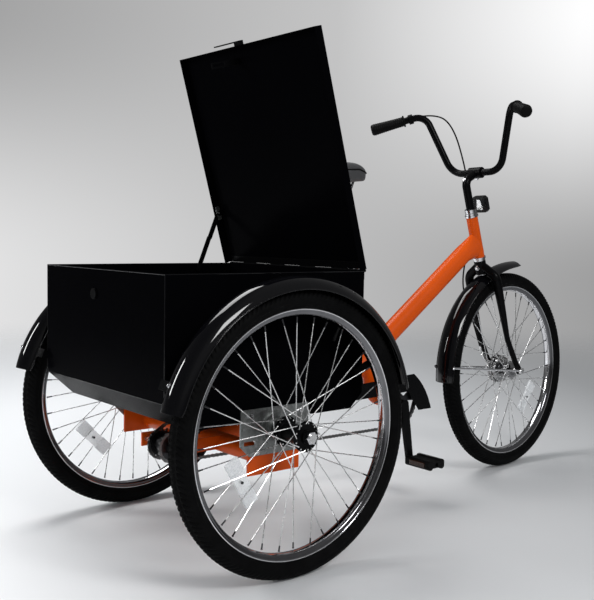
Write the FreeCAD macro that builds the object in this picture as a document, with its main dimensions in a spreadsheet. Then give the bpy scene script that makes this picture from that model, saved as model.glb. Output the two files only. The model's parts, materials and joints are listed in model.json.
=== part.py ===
# Cargo tricycle: two wheels and a lidded box behind, one steered wheel in front.
# Millimetres, +X forward, +Y to the rider's left, +Z up, origin on the ground
# half way between the axles. It stands as photographed: lid open, bars turned a little.
import FreeCAD, Part
import math
import os

import Sketcher
from FreeCAD import Placement, Rotation, Vector

# Driving dimensions: name, value, what it is.
DIMENSIONS = [
    ("wheelbase", 1235, "rear axle to front axle"),
    ("track", 736, "between the rear tyres' middles"),
    ("overrun", 2, "how far a cutting tool passes the face it cuts"),
    ("fit_gap", 0.3, "gap between curved faces that only sit together"),
    ("run_gap", 0.05, "radial clearance of a shaft that turns in its bore"),
    # wheels
    ("tyre_radius", 330, "outer radius of all tyres"),
    ("tyre_width", 54, "width of the tyre"),
    ("tyre_wall", 4, "thickness of the tyre's casing"),
    ("rim_radius", 286, "outer radius of the rim"),
    ("rim_width", 34, "width of the rim"),
    ("rim_depth", 20, "radial depth of the rim"),
    ("rim_wall", 2.4, "thickness of the rim's edge"),
    ("bead_depth", 8, "depth of the channel that holds the tyre"),
    ("spoke_count", 36, "spokes of a wheel"),
    ("spoke_crossings", 3, "other spokes that each one crosses"),
    ("spoke_size", 1.9, "thickness of a spoke"),
    ("nipple_offset", 2.8, "spokes' outer ends beside the rim's middle"),
    ("spoke_lift", 2.8, "outer spokes off their flange, where they pass its edge"),
    ("spoke_nip", 0.5, "inner spokes off their flange"),
    ("flange_thick", 3, "thickness of the hubs' flanges"),
    # rear hubs and axle
    ("hub_flange_radius", 35, "rear hub flange"),
    ("hub_flange_gap", 70, "between the middles of a rear hub's flanges"),
    ("hub_barrel_radius", 21, "rear hub body"),
    ("hub_end_radius", 15, "rear hub end"),
    ("hub_length", 86, "rear hub length"),
    ("spoke_inset", 4.5, "from a rear hub flange's edge to its spokes"),
    ("front_spoke_inset", 2, "from a front hub flange's edge to its spokes"),
    ("axle_radius", 10, "rear axle"),
    ("axle_nut_radius", 15, "across the corners of a rear axle nut, halved"),
    ("axle_nut_height", 14, "rear axle nut"),
    # front hub
    ("drum_radius", 47, "brake drum side of the front hub"),
    ("drum_wall", 4, "wall of the brake drum"),
    ("drum_depth", 24, "depth of the brake drum"),
    ("front_flange_radius", 31, "flange away from the drum"),
    ("front_flange_gap", 56, "between the front hub's flanges"),
    ("front_barrel_radius", 19, "front hub body"),
    ("front_axle_radius", 5, "front axle"),
    ("front_nut_radius", 9.5, "front axle nut"),
    ("front_nut_height", 9, "front axle nut"),
    ("fork_gap", 104, "between the fork's ends, inside"),
    ("brake_plate_thick", 5, "plate that closes the drum"),
    # steering
    ("head_angle", 72, "degrees of the steering axis from level"),
    ("steer_at_rest", 4.4, "degrees the bars are turned left at rest"),
    ("fork_rake", 34, "axle ahead of the steering axis"),
    ("head_start", 417, "from the axle's level along the steering axis to the head tube"),
    ("head_length", 137, "head tube"),
    ("head_radius", 18.5, "head tube"),
    ("head_bore", 16, "radius inside the head tube"),
    ("cup_radius", 21.5, "headset cups"),
    ("cup_height", 6, "headset cup outside the tube"),
    ("steerer_radius", 12.7, "steerer tube"),
    ("steerer_bore", 11.1, "radius inside the steerer"),
    ("crown_height", 46, "fork crown's boss under the lower race"),
    ("race_height", 6, "headset races and the space the lower one fills"),
    ("locknut_height", 11, "headset locknut"),
    ("nut_radius", 19, "headset races and locknut"),
    ("blade_radius", 14.5, "fork blades at the crown"),
    ("blade_end_radius", 9, "fork blades at the axle"),
    ("blade_half", 54, "half of the space between the blades' middles at the shoulders"),
    ("shoulder_drop", 56, "blades' shoulders below the crown's top"),
    ("shoulder_bend", 34, "radius of the blades' shoulders"),
    ("rake_height", 128, "where the blades bend forward, above the axle"),
    ("rake_bend", 150, "radius of that bend"),
    ("dropout_thick", 6, "fork end"),
    # stem, bars and lever
    ("stem_radius", 13, "stem above the headset"),
    ("stem_rise", 104, "from the steerer's top to the bar"),
    ("bar_reach", 64, "bar ahead of the steering axis"),
    ("clamp_radius", 18, "stem's clamp round the bar"),
    ("clamp_length", 46, "stem's clamp, along the bar"),
    ("bar_radius", 11.1, "handlebar tube"),
    ("bar_wall", 1.6, "handlebar tube wall"),
    ("bar_low_half", 94, "half of the bar's low straight part"),
    ("bar_top_half", 167, "half width at the bar's upper bends"),
    ("bar_rise", 205, "upper bends above the low part"),
    ("bar_top_reach", 6, "upper bends ahead of the low part"),
    ("bar_end_half", 295, "half width at the grips' ends"),
    ("bar_end_back", 121, "grips' ends behind the low part"),
    ("bar_end_drop", 10, "grips' ends below the upper bends"),
    ("bar_low_bend", 62, "radius of the lower bends"),
    ("bar_top_bend", 44, "radius of the upper bends"),
    ("grip_length", 114, "hand grip"),
    ("grip_radius", 15, "hand grip"),
    ("grip_swell", 3.5, "how much thicker a grip's outer end is"),
    ("lever_length", 96, "brake lever blade"),
    ("lever_thick", 9, "brake lever blade"),
    ("lever_stand_off", 38, "lever pivot from the bar's middle"),
    ("lever_flare", 14, "degrees the lever stands off from the grip"),
    ("lever_from_end", 132, "lever's clamp from the bar's end"),
    ("lever_pin_radius", 2.5, "lever pivot"),
    ("lever_lug", 3, "lugs that hold the lever"),
    ("lever_clamp_length", 14, "lever's clamp along the bar"),
    ("lever_clamp_radius", 16, "lever's clamp round the bar"),
    ("arm_length", 58, "brake arm"),
    ("arm_thick", 4, "brake arm"),
    ("arm_radius", 8, "brake arm's ends"),
    ("arm_pin_radius", 4, "brake arm's shaft"),
    ("arm_offset", 26, "brake arm's shaft from the axle, back and up"),
    ("arm_turn", 30, "degrees the brake arm leans back"),
    ("cable_radius", 2.5, "brake cable"),
    ("cable_lead", 60, "brake cable's first straight run out of the lever's clamp"),
    # frame tubes
    ("main_radius", 29, "main tube"),
    ("main_wall", 2, "main tube wall"),
    ("main_slope", 36, "degrees of the main tube from level"),
    ("main_join", 57, "main tube's middle above the head tube's lower end"),
    ("flare_length", 78, "last stretch of the main tube, which widens to the head tube"),
    ("flare_drop", 15, "how far the main tube's lower edge comes down at the head tube"),
    ("flare_half", 17.5, "half width of the main tube at the head tube"),
    ("spine_height", 318, "where the main tube bends to run under the box"),
    ("spine_bend", 260, "radius of that bend"),
    ("seat_tube_radius", 19, "seat tube"),
    ("seat_tube_bore", 15, "radius inside the seat tube"),
    ("seat_angle", 77, "degrees of the seat tube from level"),
    ("seat_tube_top", 640, "height of the seat tube's top"),
    ("seat_tube_back", 55, "seat tube behind the crank axle at axle height"),
    ("seat_bend", 50, "radius of the seat tube's lower bend"),
    ("crank_x", 27.5, "crank axle ahead of the middle"),
    ("crank_height", 288, "crank axle above the ground"),
    ("shell_radius", 21, "bottom bracket shell"),
    ("shell_bore", 17, "radius inside the shell"),
    ("shell_length", 68, "bottom bracket shell"),
    ("cross_radius", 24, "cross tube of the rear carrier"),
    ("cross_wall", 2.5, "cross tube wall"),
    ("cross_forward", 8, "cross tube ahead of the rear axle"),
    ("cross_height", 254, "cross tube above the ground"),
    ("end_plate_thick", 6, "carrier end plate"),
    ("end_plate_length", 150, "carrier end plate"),
    ("end_plate_bottom", 226, "height of the end plate's lower edge"),
    ("end_plate_top", 296, "height of the end plate's upper edge"),
    ("hanger_thick", 4, "bearing hanger plate"),
    ("hanger_length", 200, "bearing hanger plate"),
    ("hanger_bottom", 272, "height of the hanger's lower edge"),
    ("hanger_top", 381, "height of the hanger's upper edge"),
    ("hanger_corner", 26, "cut corners of the hanger"),
    ("slot_length", 32, "adjusting slots of the hanger"),
    ("slot_width", 10, "adjusting slots of the hanger"),
    ("bearing_radius", 26, "axle bearing housing"),
    ("bearing_depth", 16, "axle bearing housing"),
    ("bearing_flange_radius", 40, "axle bearing flange"),
    ("bolt_head_radius", 7, "carrier bolts"),
    ("bolt_head_height", 5.5, "carrier bolts"),
    # saddle
    ("post_radius", 14.9, "seat post"),
    ("post_insert", 110, "seat post inside the seat tube"),
    ("post_top", 898, "height of the seat post's top"),
    ("saddle_top", 1002, "height of the saddle"),
    ("saddle_length", 262, "saddle, nose to back"),
    ("saddle_width", 206, "saddle, at its back"),
    ("saddle_ahead", 92, "saddle nose ahead of the post's top"),
    ("saddle_skirt", 74, "saddle, top to lower edge"),
    ("saddle_rise", 10, "saddle's back above its middle"),
    ("collar_height", 16, "seat collar"),
    ("collar_thick", 4, "seat collar"),
    ("clamp_block", 34, "saddle clamp, all ways"),
    ("rail_radius", 3.5, "saddle rails"),
    ("rail_half", 16, "half of the space between the rails"),
    ("rail_drop", 5.4, "rails' ends below the saddle's hollow, at its middle"),
    ("saddle_pad", 24, "saddle's cushion above the hollow under it"),
    ("saddle_wall", 6, "saddle's skirt"),
    # drive
    ("pitch", 12.7, "chain pitch"),
    ("ring_teeth", 36, "chainring teeth"),
    ("driver_teeth", 18, "teeth that the front chain drives"),
    ("axle_teeth", 18, "teeth of the hub and axle sprockets"),
    ("drive_links", 42, "links of the chain to the rear axle"),
    ("hub_behind", 134.6, "about how far the drive hub is behind the rear axle"),
    ("hub_below", 71.4, "about how far the drive hub is below the rear axle"),
    ("gap_depth", 4.4, "tooth gaps below the pitch circle"),
    ("gap_floor", 6, "width of a tooth gap's floor"),
    ("gap_flare", 0.32, "how much a tooth gap's side opens for each step outwards"),
    ("tooth_rise", 3.2, "teeth above the pitch circle"),
    ("tooth_thick", 2.8, "sprockets at the teeth"),
    ("roller_radius", 3.9, "chain roller"),
    ("link_inner_gap", 3.6, "between a chain's plates"),
    ("link_plate", 1.2, "chain plate"),
    ("link_depth", 8, "chain plate, across"),
    ("chain_line", 62, "front chain to the right of the middle"),
    ("drive_line", 12, "drive chain to the right of the middle"),
    ("track_end_right", 81, "right track end, from the middle"),
    ("track_end_left", 56, "left track end, from the middle"),
    ("track_end_thick", 5, "track ends"),
    ("track_end_depth", 34, "track ends, up and down"),
    ("track_end_tail", 18, "track end behind the hub's axle"),
    ("hub_axle_radius", 5, "drive hub axle"),
    ("hub_nut_radius", 9, "drive hub nuts"),
    ("shell_hub_radius", 24, "drive hub body"),
    ("driver_boss_radius", 17, "drive hub driver"),
    ("spindle_radius", 8.5, "crank spindle"),
    ("crank_length", 170, "crank arm"),
    ("crank_lean", 10, "degrees the right crank is ahead of straight down"),
    ("crank_thick", 12, "crank arm"),
    ("crank_big_radius", 15, "crank arm at the spindle"),
    ("crank_small_radius", 10.5, "crank arm at the pedal"),
    ("crank_stand_off", 80, "crank arm's inner face from the middle"),
    ("ring_hub_radius", 26, "chainring's middle"),
    ("ring_band", 11, "chainring rim inside its teeth"),
    ("ring_arm_count", 5, "openings in the chainring"),
    ("pedal_axle_radius", 6, "pedal axle"),
    ("pedal_length", 66, "pedal, front to back"),
    ("pedal_width", 94, "pedal, along its axle"),
    ("pedal_thick", 27, "pedal, up and down"),
    ("pedal_gap", 9, "between a crank arm and its pedal"),
    ("pedal_tread", 18, "each of a pedal's two treads, front to back"),
    ("pedal_waist", 18, "pedal between its treads, up and down"),
    ("pedal_corner", 5, "cut corners of a pedal"),
    ("guard_thick", 1.6, "chain guard"),
    ("guard_reach", 213, "arc of the guard, round a place above and behind the crank"),
    ("guard_back", 235, "back end of the guard, behind the crank axle"),
    ("guard_back_low", 24, "guard's lower edge at its back end, above the crank axle"),
    ("guard_back_top", 66, "guard's upper edge at its back end, above the crank axle"),
    ("guard_inner", 30, "guard's inner corner, ahead of and above the crank axle"),
    ("guard_foot", 78, "guard's lower corner ahead of the crank axle"),
    ("guard_drop", 31, "guard's lower edge below the crank axle"),
    ("guard_tip", 132, "guard's tip ahead of the crank axle"),
    ("guard_top_ahead", 54, "upper end of the guard's arc, ahead of the crank axle"),
    ("guard_top_rise", 81, "upper end of the guard's arc, above the crank axle"),
    ("guard_post_radius", 4, "guard's holder"),
    ("ring_opening", 20, "half width of an opening in the chainring"),
    ("guard_line", 74, "chain guard's middle, right of the middle"),
    # box and lid
    ("box_length", 575, "cargo box"),
    ("hub_gap", 15.5, "between a rear hub and the axle bearing beside it"),
    ("box_front", 277.5, "box front ahead of the rear axle"),
    ("box_top", 692, "height of the box's rim"),
    ("box_floor", 382, "height of the floor inside"),
    ("box_bottom", 350, "height of the box's lower edge"),
    ("box_wall", 1.5, "box sheet"),
    ("box_rear_knee", 415, "where the back wall turns in"),
    ("box_rear_slope", 72, "how far the back slopes in"),
    ("box_front_knee", 386, "where the front wall turns in"),
    ("box_front_slope", 38, "how far the front slopes in"),
    ("sheet_slant_share", 1.6, "sheet thickness along the level, where a wall slopes"),
    ("lid_open", 74, "degrees the lid stands open"),
    ("lid_side_gap", 1, "between the box and the lid's turned-down edge"),
    ("lid_lip", 20, "turned-down edge of the lid"),
    ("lid_overhang", 20, "lid beyond the box at its free edge"),
    ("lid_gap", 1.6, "lid above the rim"),
    ("knuckle_radius", 3.2, "hinge knuckles"),
    ("hinge_pin_radius", 1.6, "hinge pin"),
    ("hinge_leaf", 18, "hinge leaf"),
    ("hinge_leaf_thick", 1.2, "hinge leaf"),
    ("hinge_knuckles", 9, "knuckles of the hinge"),
    ("knuckle_gap", 0.4, "between two knuckles"),
    ("stay_lower", 100, "lower arm of the lid stay, between pivots"),
    ("stay_width", 14, "lid stay arms"),
    ("stay_thick", 2.5, "lid stay arms"),
    ("stay_wall_x", 121.5, "wall pivot behind the hinge"),
    ("stay_wall_drop", 19, "wall pivot below the box's rim"),
    ("stay_lid_along", 154, "lid pivot from the hinge"),
    ("stay_lid_drop", 14, "lid pivot below the lid"),
    ("stay_inset", 9, "stay from the box's wall"),
    ("pivot_radius", 3.5, "lid stay pivots"),
    ("lock_side", 28, "lock left of the middle"),
    ("lock_drop", 60, "lock below the box's rim"),
    ("lock_radius", 9, "lock barrel"),
    ("lock_face_radius", 13, "lock face"),
    ("lock_face_thick", 4, "lock face"),
    ("cam_length", 30, "lock cam"),
    ("cam_width", 12, "lock cam"),
    ("cam_thick", 2.5, "lock cam"),
    ("cam_inside", 15, "lock cam inside the wall"),
    ("strike_side", 16, "strike from the lock's middle"),
    ("strike_depth", 16, "strike plate, front to back"),
    ("strike_thick", 2, "strike plate"),
    ("strike_inside", 9, "strike plate from the box's back wall"),
    ("strike_window", 7, "window in the strike plate, front to back"),
    ("strike_foot", 30, "strike plate's foot on the lid"),
    ("handle_thick", 3, "lid handle"),
    ("handle_length", 116, "lid handle"),
    ("handle_depth", 12, "lid handle"),
    ("handle_block", 26, "block of the lid handle"),
    # fenders
    ("fender_radius", 347, "outer radius of the rear fenders"),
    ("front_fender_radius", 355, "outer radius of the front fender"),
    ("fender_width", 68, "fenders"),
    ("fender_sag", 17, "how far a fender's sides come down"),
    ("fender_thick", 1.4, "fender sheet"),
    ("rear_fender_start", 13, "degrees of a rear fender's front end"),
    ("rear_fender_end", 166, "degrees of a rear fender's back end"),
    ("front_fender_start", 66, "degrees of the front fender's front end, from the fork's front"),
    ("front_fender_end", 164, "degrees of the front fender's back end, from the fork's front"),
    ("bracket_width", 22, "fender brackets"),
    ("bracket_thick", 3, "fender brackets"),
    ("bracket_foot", 62, "fender brackets' foot on the box"),
    ("fender_stay_radius", 3, "front fender stays"),
    # front reflector
    ("reflector_width", 54, "front reflector"),
    ("reflector_height", 54, "front reflector"),
    ("reflector_depth", 16, "front reflector"),
    ("reflector_corner", 8, "cut corners of the front reflector"),
    ("reflector_low", 14, "reflector's lower edge below its bracket"),
    ("bracket_strip", 16, "reflector bracket's width"),
    ("strip_thick", 2, "reflector bracket"),
    ("reflector_reach", 52, "front reflector ahead of the steering axis"),
]

doc = FreeCAD.newDocument("cargo_tricycle")
sheet = doc.addObject("Spreadsheet::Sheet", "Sizes")
for row, (name, value, note) in enumerate(DIMENSIONS, start=1):
    sheet.set("A%d" % row, note)
    sheet.set("B%d" % row, str(value))
    sheet.setAlias("B%d" % row, name)
doc.recompute()


class Size:
    """A number together with the sheet formula that gives it."""

    def __init__(self, value, formula):
        self.value = float(value)
        self.formula = formula

    def join(self, other, sign, value):
        return Size(value, "(%s %s %s)" % (self.formula, sign, as_size(other).formula))

    def __add__(self, other):
        return self.join(other, "+", self.value + as_size(other).value)

    def __sub__(self, other):
        return self.join(other, "-", self.value - as_size(other).value)

    def __mul__(self, other):
        return self.join(other, "*", self.value * as_size(other).value)

    def __truediv__(self, other):
        return self.join(other, "/", self.value / as_size(other).value)

    def __radd__(self, other):
        return as_size(other) + self

    def __rsub__(self, other):
        return as_size(other) - self

    def __rmul__(self, other):
        return as_size(other) * self

    def __rtruediv__(self, other):
        return as_size(other) / self

    def __neg__(self):
        return Size(-self.value, "(0 - %s)" % self.formula)


def as_size(number):
    return number if isinstance(number, Size) else Size(number, "%.9g" % number)


def root(size):
    return Size(math.sqrt(size.value), "sqrt(%s)" % size.formula)


def sine(angle):
    return Size(math.sin(math.radians(angle.value)), "sin(%s)" % angle.formula)


def cosine(angle):
    return Size(math.cos(math.radians(angle.value)), "cos(%s)" % angle.formula)


class SheetSizes:
    """The sheet's dimensions as attributes."""

    def __getattr__(self, name):
        return Size(float(sheet.get(name)), "Sizes.%s" % name)


S = SheetSizes()
nodes = []


def node(item, label):
    """Names a finished sub-part, which is written to a file of that name."""
    item.Label = label
    nodes.append(item)
    return item


def bind(item, name, size):
    """Sets a property and ties it to the sheet."""
    size = as_size(size)
    setattr(item, name, size.value)
    item.setExpression(name, size.formula)


def vector(x, y, z):
    return Vector(as_size(x).value, as_size(y).value, as_size(z).value)


def put(item, x, y, z, rotation=None):
    """Places a sub-part, with its position tied to the sheet."""
    item.Placement = Placement(vector(x, y, z), rotation or Rotation())
    for axis, size in zip("xyz", (x, y, z)):
        item.setExpression("Placement.Base.%s" % axis, as_size(size).formula)
    return item


X_AXIS = Vector(1, 0, 0)
Y_AXIS = Vector(0, 1, 0)
Z_AXIS = Vector(0, 0, 1)
ALONG_Y = Rotation(X_AXIS, -90)
ALONG_X = Rotation(Y_AXIS, 90)


def pin_point(sketch, geo, pos, x, y):
    """Ties a point of a sketch to the sheet, by its two coordinates."""
    for kind, axis, size in (("DistanceX", -2, as_size(x)), ("DistanceY", -1, as_size(y))):
        if size.formula == "0":
            sketch.addConstraint(Sketcher.Constraint("PointOnObject", geo, pos, axis))
            continue
        row = sketch.addConstraint(Sketcher.Constraint(kind, -1, 1, geo, pos, size.value))
        sketch.setExpression("Constraints[%d]" % row, size.formula)


def arc_between(start, end, radius):
    """The short arc from start to end: counter-clockwise for a positive radius."""
    chord = end - start
    side = 1 if radius > 0 else -1
    rise = math.sqrt(max(radius ** 2 - (chord.Length / 2) ** 2, 0))
    centre = (start + end) / 2 + Vector(-chord.y, chord.x, 0).normalize() * side * rise
    first, last = (start, end) if side > 0 else (end, start)
    angles = [math.atan2(p.y - centre.y, p.x - centre.x) for p in (first, last)]
    return Part.ArcOfCircle(Part.Circle(centre, Z_AXIS, abs(radius)), angles[0], angles[1])


def draw(sketch, outline):
    """Draws a closed outline of (x, y) or (x, y, radius of the arc to the next point)."""
    ends = []
    for i, point in enumerate(outline):
        start = vector(point[0], point[1], 0)
        after = outline[(i + 1) % len(outline)]
        end = vector(after[0], after[1], 0)
        if len(point) < 3:
            geo = sketch.addGeometry(Part.LineSegment(start, end), False)
            ends.append((geo, 1, 2))
            continue
        radius = as_size(point[2])
        geo = sketch.addGeometry(arc_between(start, end, radius.value), False)
        ends.append((geo, 1, 2) if radius.value > 0 else (geo, 2, 1))
    for i, (geo, _, last) in enumerate(ends):
        after = ends[(i + 1) % len(ends)]
        sketch.addConstraint(Sketcher.Constraint("Coincident", geo, last, after[0], after[1]))
    for (geo, first, _), point in zip(ends, outline):
        pin_point(sketch, geo, first, point[0], point[1])
        if len(point) == 3:
            radius = as_size(point[2])
            size = radius if radius.value > 0 else -radius
            row = sketch.addConstraint(Sketcher.Constraint("Radius", geo, size.value))
            sketch.setExpression("Constraints[%d]" % row, size.formula)


def draw_circle(sketch, x, y, radius):
    circle = Part.Circle(vector(x, y, 0), Z_AXIS, as_size(radius).value)
    geo = sketch.addGeometry(circle, False)
    pin_point(sketch, geo, 3, x, y)
    row = sketch.addConstraint(Sketcher.Constraint("Radius", geo, as_size(radius).value))
    sketch.setExpression("Constraints[%d]" % row, as_size(radius).formula)


def new_sketch(body, plane):
    planes = [p for p in body.Origin.OriginFeatures if p.Role == plane]
    sketch = body.newObject("Sketcher::SketchObject", body.Name + "Sketch")
    sketch.AttachmentSupport = [(planes[0], "")]
    sketch.MapMode = "FlatFace"
    return sketch


def new_body(name):
    return doc.addObject("PartDesign::Body", name)


def turned(name, outline, angle=360):
    """A body turned about Z from an outline of (radius, height)."""
    body = new_body(name)
    sketch = new_sketch(body, "XZ_Plane")
    draw(sketch, outline)
    turn = body.newObject("PartDesign::Revolution", name + "Turn")
    turn.Profile = sketch
    turn.ReferenceAxis = (sketch, ["V_Axis"])
    bind(turn, "Angle", angle)
    return body


def plate(name, outline, thick, circles=(), plane="XZ_Plane"):
    """A body of even thickness, half to each side of its sketch's plane."""
    body = new_body(name)
    sketch = new_sketch(body, plane)
    draw(sketch, outline)
    for x, y, radius in circles:
        draw_circle(sketch, x, y, radius)
    pad = body.newObject("PartDesign::Pad", name + "Pad")
    pad.Profile = sketch
    pad.SideType = "Symmetric"
    bind(pad, "Length", thick)
    return body


def cut_through(body, outline, length, plane="XZ_Plane"):
    """Cuts an outline out of a body, half of the length to each side of the plane."""
    sketch = new_sketch(body, plane)
    draw(sketch, outline)
    pocket = body.newObject("PartDesign::Pocket", body.Name + "Pocket")
    pocket.Profile = sketch
    pocket.SideType = "Symmetric"
    bind(pocket, "Length", length)
    return pocket


def repeat_round(body, feature, count):
    """Repeats a feature of a body around Z."""
    pattern = body.newObject("PartDesign::PolarPattern", body.Name + "Pattern")
    pattern.Originals = [feature]
    axis = [a for a in body.Origin.OriginFeatures if a.Role == "Z_Axis"][0]
    pattern.Axis = (axis, [""])
    pattern.Angle = 360
    pattern.Occurrences = int(as_size(count).value)
    pattern.setExpression("Occurrences", as_size(count).formula)
    body.Tip = pattern
    return pattern


def rectangle(x0, y0, x1, y1):
    return [(x0, y0), (x1, y0), (x1, y1), (x0, y1)]


def regular(count, radius):
    """A regular outline with a given radius to its corners."""
    steps = [360.0 * i / count for i in range(count)]
    return [(radius * math.cos(math.radians(a)), radius * math.sin(math.radians(a))) for a in steps]


def cylinder(name, radius, length, start, direction):
    """A round bar from a point along a direction."""
    bar = doc.addObject("Part::Cylinder", name)
    bind(bar, "Radius", radius)
    bind(bar, "Height", length)
    bar.Placement = Placement(start, Rotation(Z_AXIS, direction))
    return bar


def rod(name, radius, start, end):
    return cylinder(name, radius, (end - start).Length, start, end - start)


def block(name, x, y, z):
    """A rectangular block centred on its own origin."""
    return plate(name, rectangle(-x / 2, -y / 2, x / 2, y / 2), z, plane="XY_Plane")


def fuse(name, pieces):
    union = doc.addObject("Part::MultiFuse", name)
    union.Shapes = pieces
    return union


def cut(name, base, tool):
    result = doc.addObject("Part::Cut", name)
    result.Base = base
    result.Tool = tool
    return result


def group(name, pieces):
    """Several equal or joined-up solids in one node."""
    bundle = doc.addObject("Part::Compound", name)
    bundle.Links = pieces
    return bundle


def shape_piece(name, shape, placement=None):
    """A piece whose form is worked out here from the sheet's sizes."""
    piece = doc.addObject("Part::Feature", name)
    piece.Shape = shape
    piece.Placement = placement or Placement()
    return piece


def rounded_wire(points, radii):
    """Straight runs joined by tangent arcs of the given radii, one per inner point."""
    edges = []
    start = points[0]
    for before, corner, after, radius in zip(points, points[1:], points[2:], radii):
        back = (before - corner).normalize()
        ahead = (after - corner).normalize()
        turn = math.pi - back.getAngle(ahead)
        reach = radius * math.tan(turn / 2)
        inside = (back + ahead).normalize() * (radius / math.cos(turn / 2) - radius)
        first = corner + back * reach
        last = corner + ahead * reach
        edges.append(Part.LineSegment(start, first).toShape())
        edges.append(Part.Arc(first, corner + inside, last).toShape())
        start = last
    edges.append(Part.LineSegment(start, points[-1]).toShape())
    return Part.Wire(edges)


def sweep(name, points, radii, radius, corners=0):
    """A bar swept along straight runs and arcs: round, or with so many corners."""
    path = shape_piece(name + "Path", rounded_wire(points, radii))
    if corners:
        ring = doc.addObject("Part::RegularPolygon", name + "Section")
        ring.Polygon = corners
        bind(ring, "Circumradius", radius)
    else:
        ring = doc.addObject("Part::Circle", name + "Section")
        bind(ring, "Radius", radius)
    ring.Placement = Placement(points[0], Rotation(Z_AXIS, points[1] - points[0]))
    pipe = doc.addObject("Part::Sweep", name)
    pipe.Sections = [ring]
    pipe.Spine = (path, ["Edge%d" % (i + 1) for i in range(len(path.Shape.Edges))])
    pipe.Solid = True
    pipe.Frenet = False
    return pipe


# Places that several sub-parts share
rear_x = -(S.wheelbase / 2)
front_x = S.wheelbase / 2
axle_z = S.tyre_radius
lean = 90 - S.head_angle
steer_foot = vector(
    front_x - S.fork_rake * sine(S.head_angle), 0, axle_z - S.fork_rake * cosine(S.head_angle)
)
steer_tilt = Placement(steer_foot, Rotation(Y_AXIS, -lean.value))
steering = steer_tilt * Placement(Vector(), Rotation(Z_AXIS, S.steer_at_rest.value))
head_top = S.head_start + S.head_length
box_side = S.track / 2 - S.hub_length / 2 - S.hub_gap - S.bearing_depth - S.hanger_thick
box_width = box_side * 2
lock_height = S.box_top - S.lock_drop
box_front_x = rear_x + S.box_front
box_back_x = box_front_x - S.box_length
hanger_side = box_side + S.hanger_thick / 2


def put_on_head(item, x, y, z, rotation=None, turn=Size(0, "0")):
    """Places a piece given along the steering axis: ahead, to the left and up it."""
    ahead = x * cosine(turn) - y * sine(turn)
    aside = x * sine(turn) + y * cosine(turn)
    foot_x = front_x - S.fork_rake * sine(S.head_angle)
    foot_z = axle_z - S.fork_rake * cosine(S.head_angle)
    turned_bars = Rotation(Y_AXIS, -lean.value) * Rotation(Z_AXIS, turn.value)
    return put(
        item,
        foot_x + ahead * cosine(lean) - z * sine(lean),
        aside,
        foot_z + ahead * sine(lean) + z * cosine(lean),
        turned_bars * (rotation or Rotation()),
    )


def put_steered(item, x=Size(0, "0"), y=Size(0, "0"), z=Size(0, "0"), rotation=None):
    """Places a piece that turns with the bars."""
    return put_on_head(item, x, y, z, rotation, S.steer_at_rest)


def pitch_radius(teeth):
    return S.pitch / (2 * sine(180 / teeth))


# Wheels
def rim(name):
    edge = S.rim_radius
    half = S.rim_width / 2
    floor = edge - S.bead_depth
    knee = edge - S.rim_depth / 2
    inner = edge - S.rim_depth
    inside = half - S.rim_wall
    nose = half / 2
    return turned(name, [
        (edge, -half), (edge, -inside), (floor, -inside), (floor, inside), (edge, inside),
        (edge, half), (knee, half), (inner, nose), (inner, -nose), (knee, -half),
    ])


# A tyre's outside from the rim to the crown: share of its height, share of its half width.
TYRE_SHARES = [(0.3, 0.96), (0.58, 0.99), (0.82, 0.74), (1.0, 0.26)]


def tyre(name):
    """A casing on the rim's beads, open inside."""
    bead = S.rim_radius - S.bead_depth + S.fit_gap
    seat = S.rim_width / 2 - S.rim_wall - S.fit_gap
    lip = S.rim_radius + S.fit_gap
    height = S.tyre_radius - lip
    half = S.tyre_width / 2
    side = [(lip + height * tall, half * wide) for tall, wide in TYRE_SHARES]
    inner = seat - S.tyre_wall
    roof = S.tyre_radius - S.tyre_wall * 2
    outside = [(bead, -seat), (lip, -seat)] + [(r, -y) for r, y in side]
    outside += side[::-1] + [(lip, seat), (bead, seat)]
    return turned(name, outside + [(bead, inner), (roof, inner), (roof, -inner), (bead, -inner)])


def rear_hub(name):
    bore = S.axle_radius + S.run_gap
    end = S.hub_length / 2
    outer = S.hub_flange_gap / 2 + S.flange_thick / 2
    inner = outer - S.flange_thick
    neck = inner - S.flange_thick
    throat = S.hub_barrel_radius + S.flange_thick
    return turned(name, [
        (bore, -end), (S.hub_end_radius, -end), (S.hub_end_radius, -outer),
        (S.hub_flange_radius, -outer), (S.hub_flange_radius, -inner), (throat, -inner),
        (S.hub_barrel_radius, -neck), (S.hub_barrel_radius, neck), (throat, inner),
        (S.hub_flange_radius, inner), (S.hub_flange_radius, outer),
        (S.hub_end_radius, outer), (S.hub_end_radius, end), (bore, end),
    ])


def front_hub(name):
    bore = S.front_axle_radius + S.run_gap
    right = -(S.front_flange_gap / 2)
    left = S.front_flange_gap / 2
    mouth = left + S.flange_thick * 2
    bottom = mouth - S.drum_depth
    drum = S.drum_radius - S.drum_wall
    hollow = S.drum_radius - S.drum_wall * 2
    return turned(name, [
        (bore, right - S.flange_thick), (S.front_barrel_radius, right - S.flange_thick),
        (S.front_flange_radius, right), (S.front_flange_radius, right + S.flange_thick),
        (S.front_barrel_radius + S.flange_thick, right + S.flange_thick),
        (S.front_barrel_radius, right + S.flange_thick * 3),
        (S.front_barrel_radius, bottom - S.drum_wall * 2), (drum, bottom),
        (drum, left - S.flange_thick), (S.drum_radius, left - S.flange_thick), (S.drum_radius, left),
        (drum, left), (drum, mouth), (hollow, mouth), (hollow, bottom + S.drum_wall),
        (bore, bottom + S.drum_wall),
    ])


def spoke(start, end):
    """A thin square bar between two points."""
    along = end - start
    size = S.spoke_size.value
    section = Part.makePlane(size, size, Vector(-size / 2, -size / 2, 0))
    bar = section.extrude(Vector(0, 0, along.Length))
    bar.Placement = Placement(start, Rotation(Z_AXIS, along))
    return bar


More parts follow.
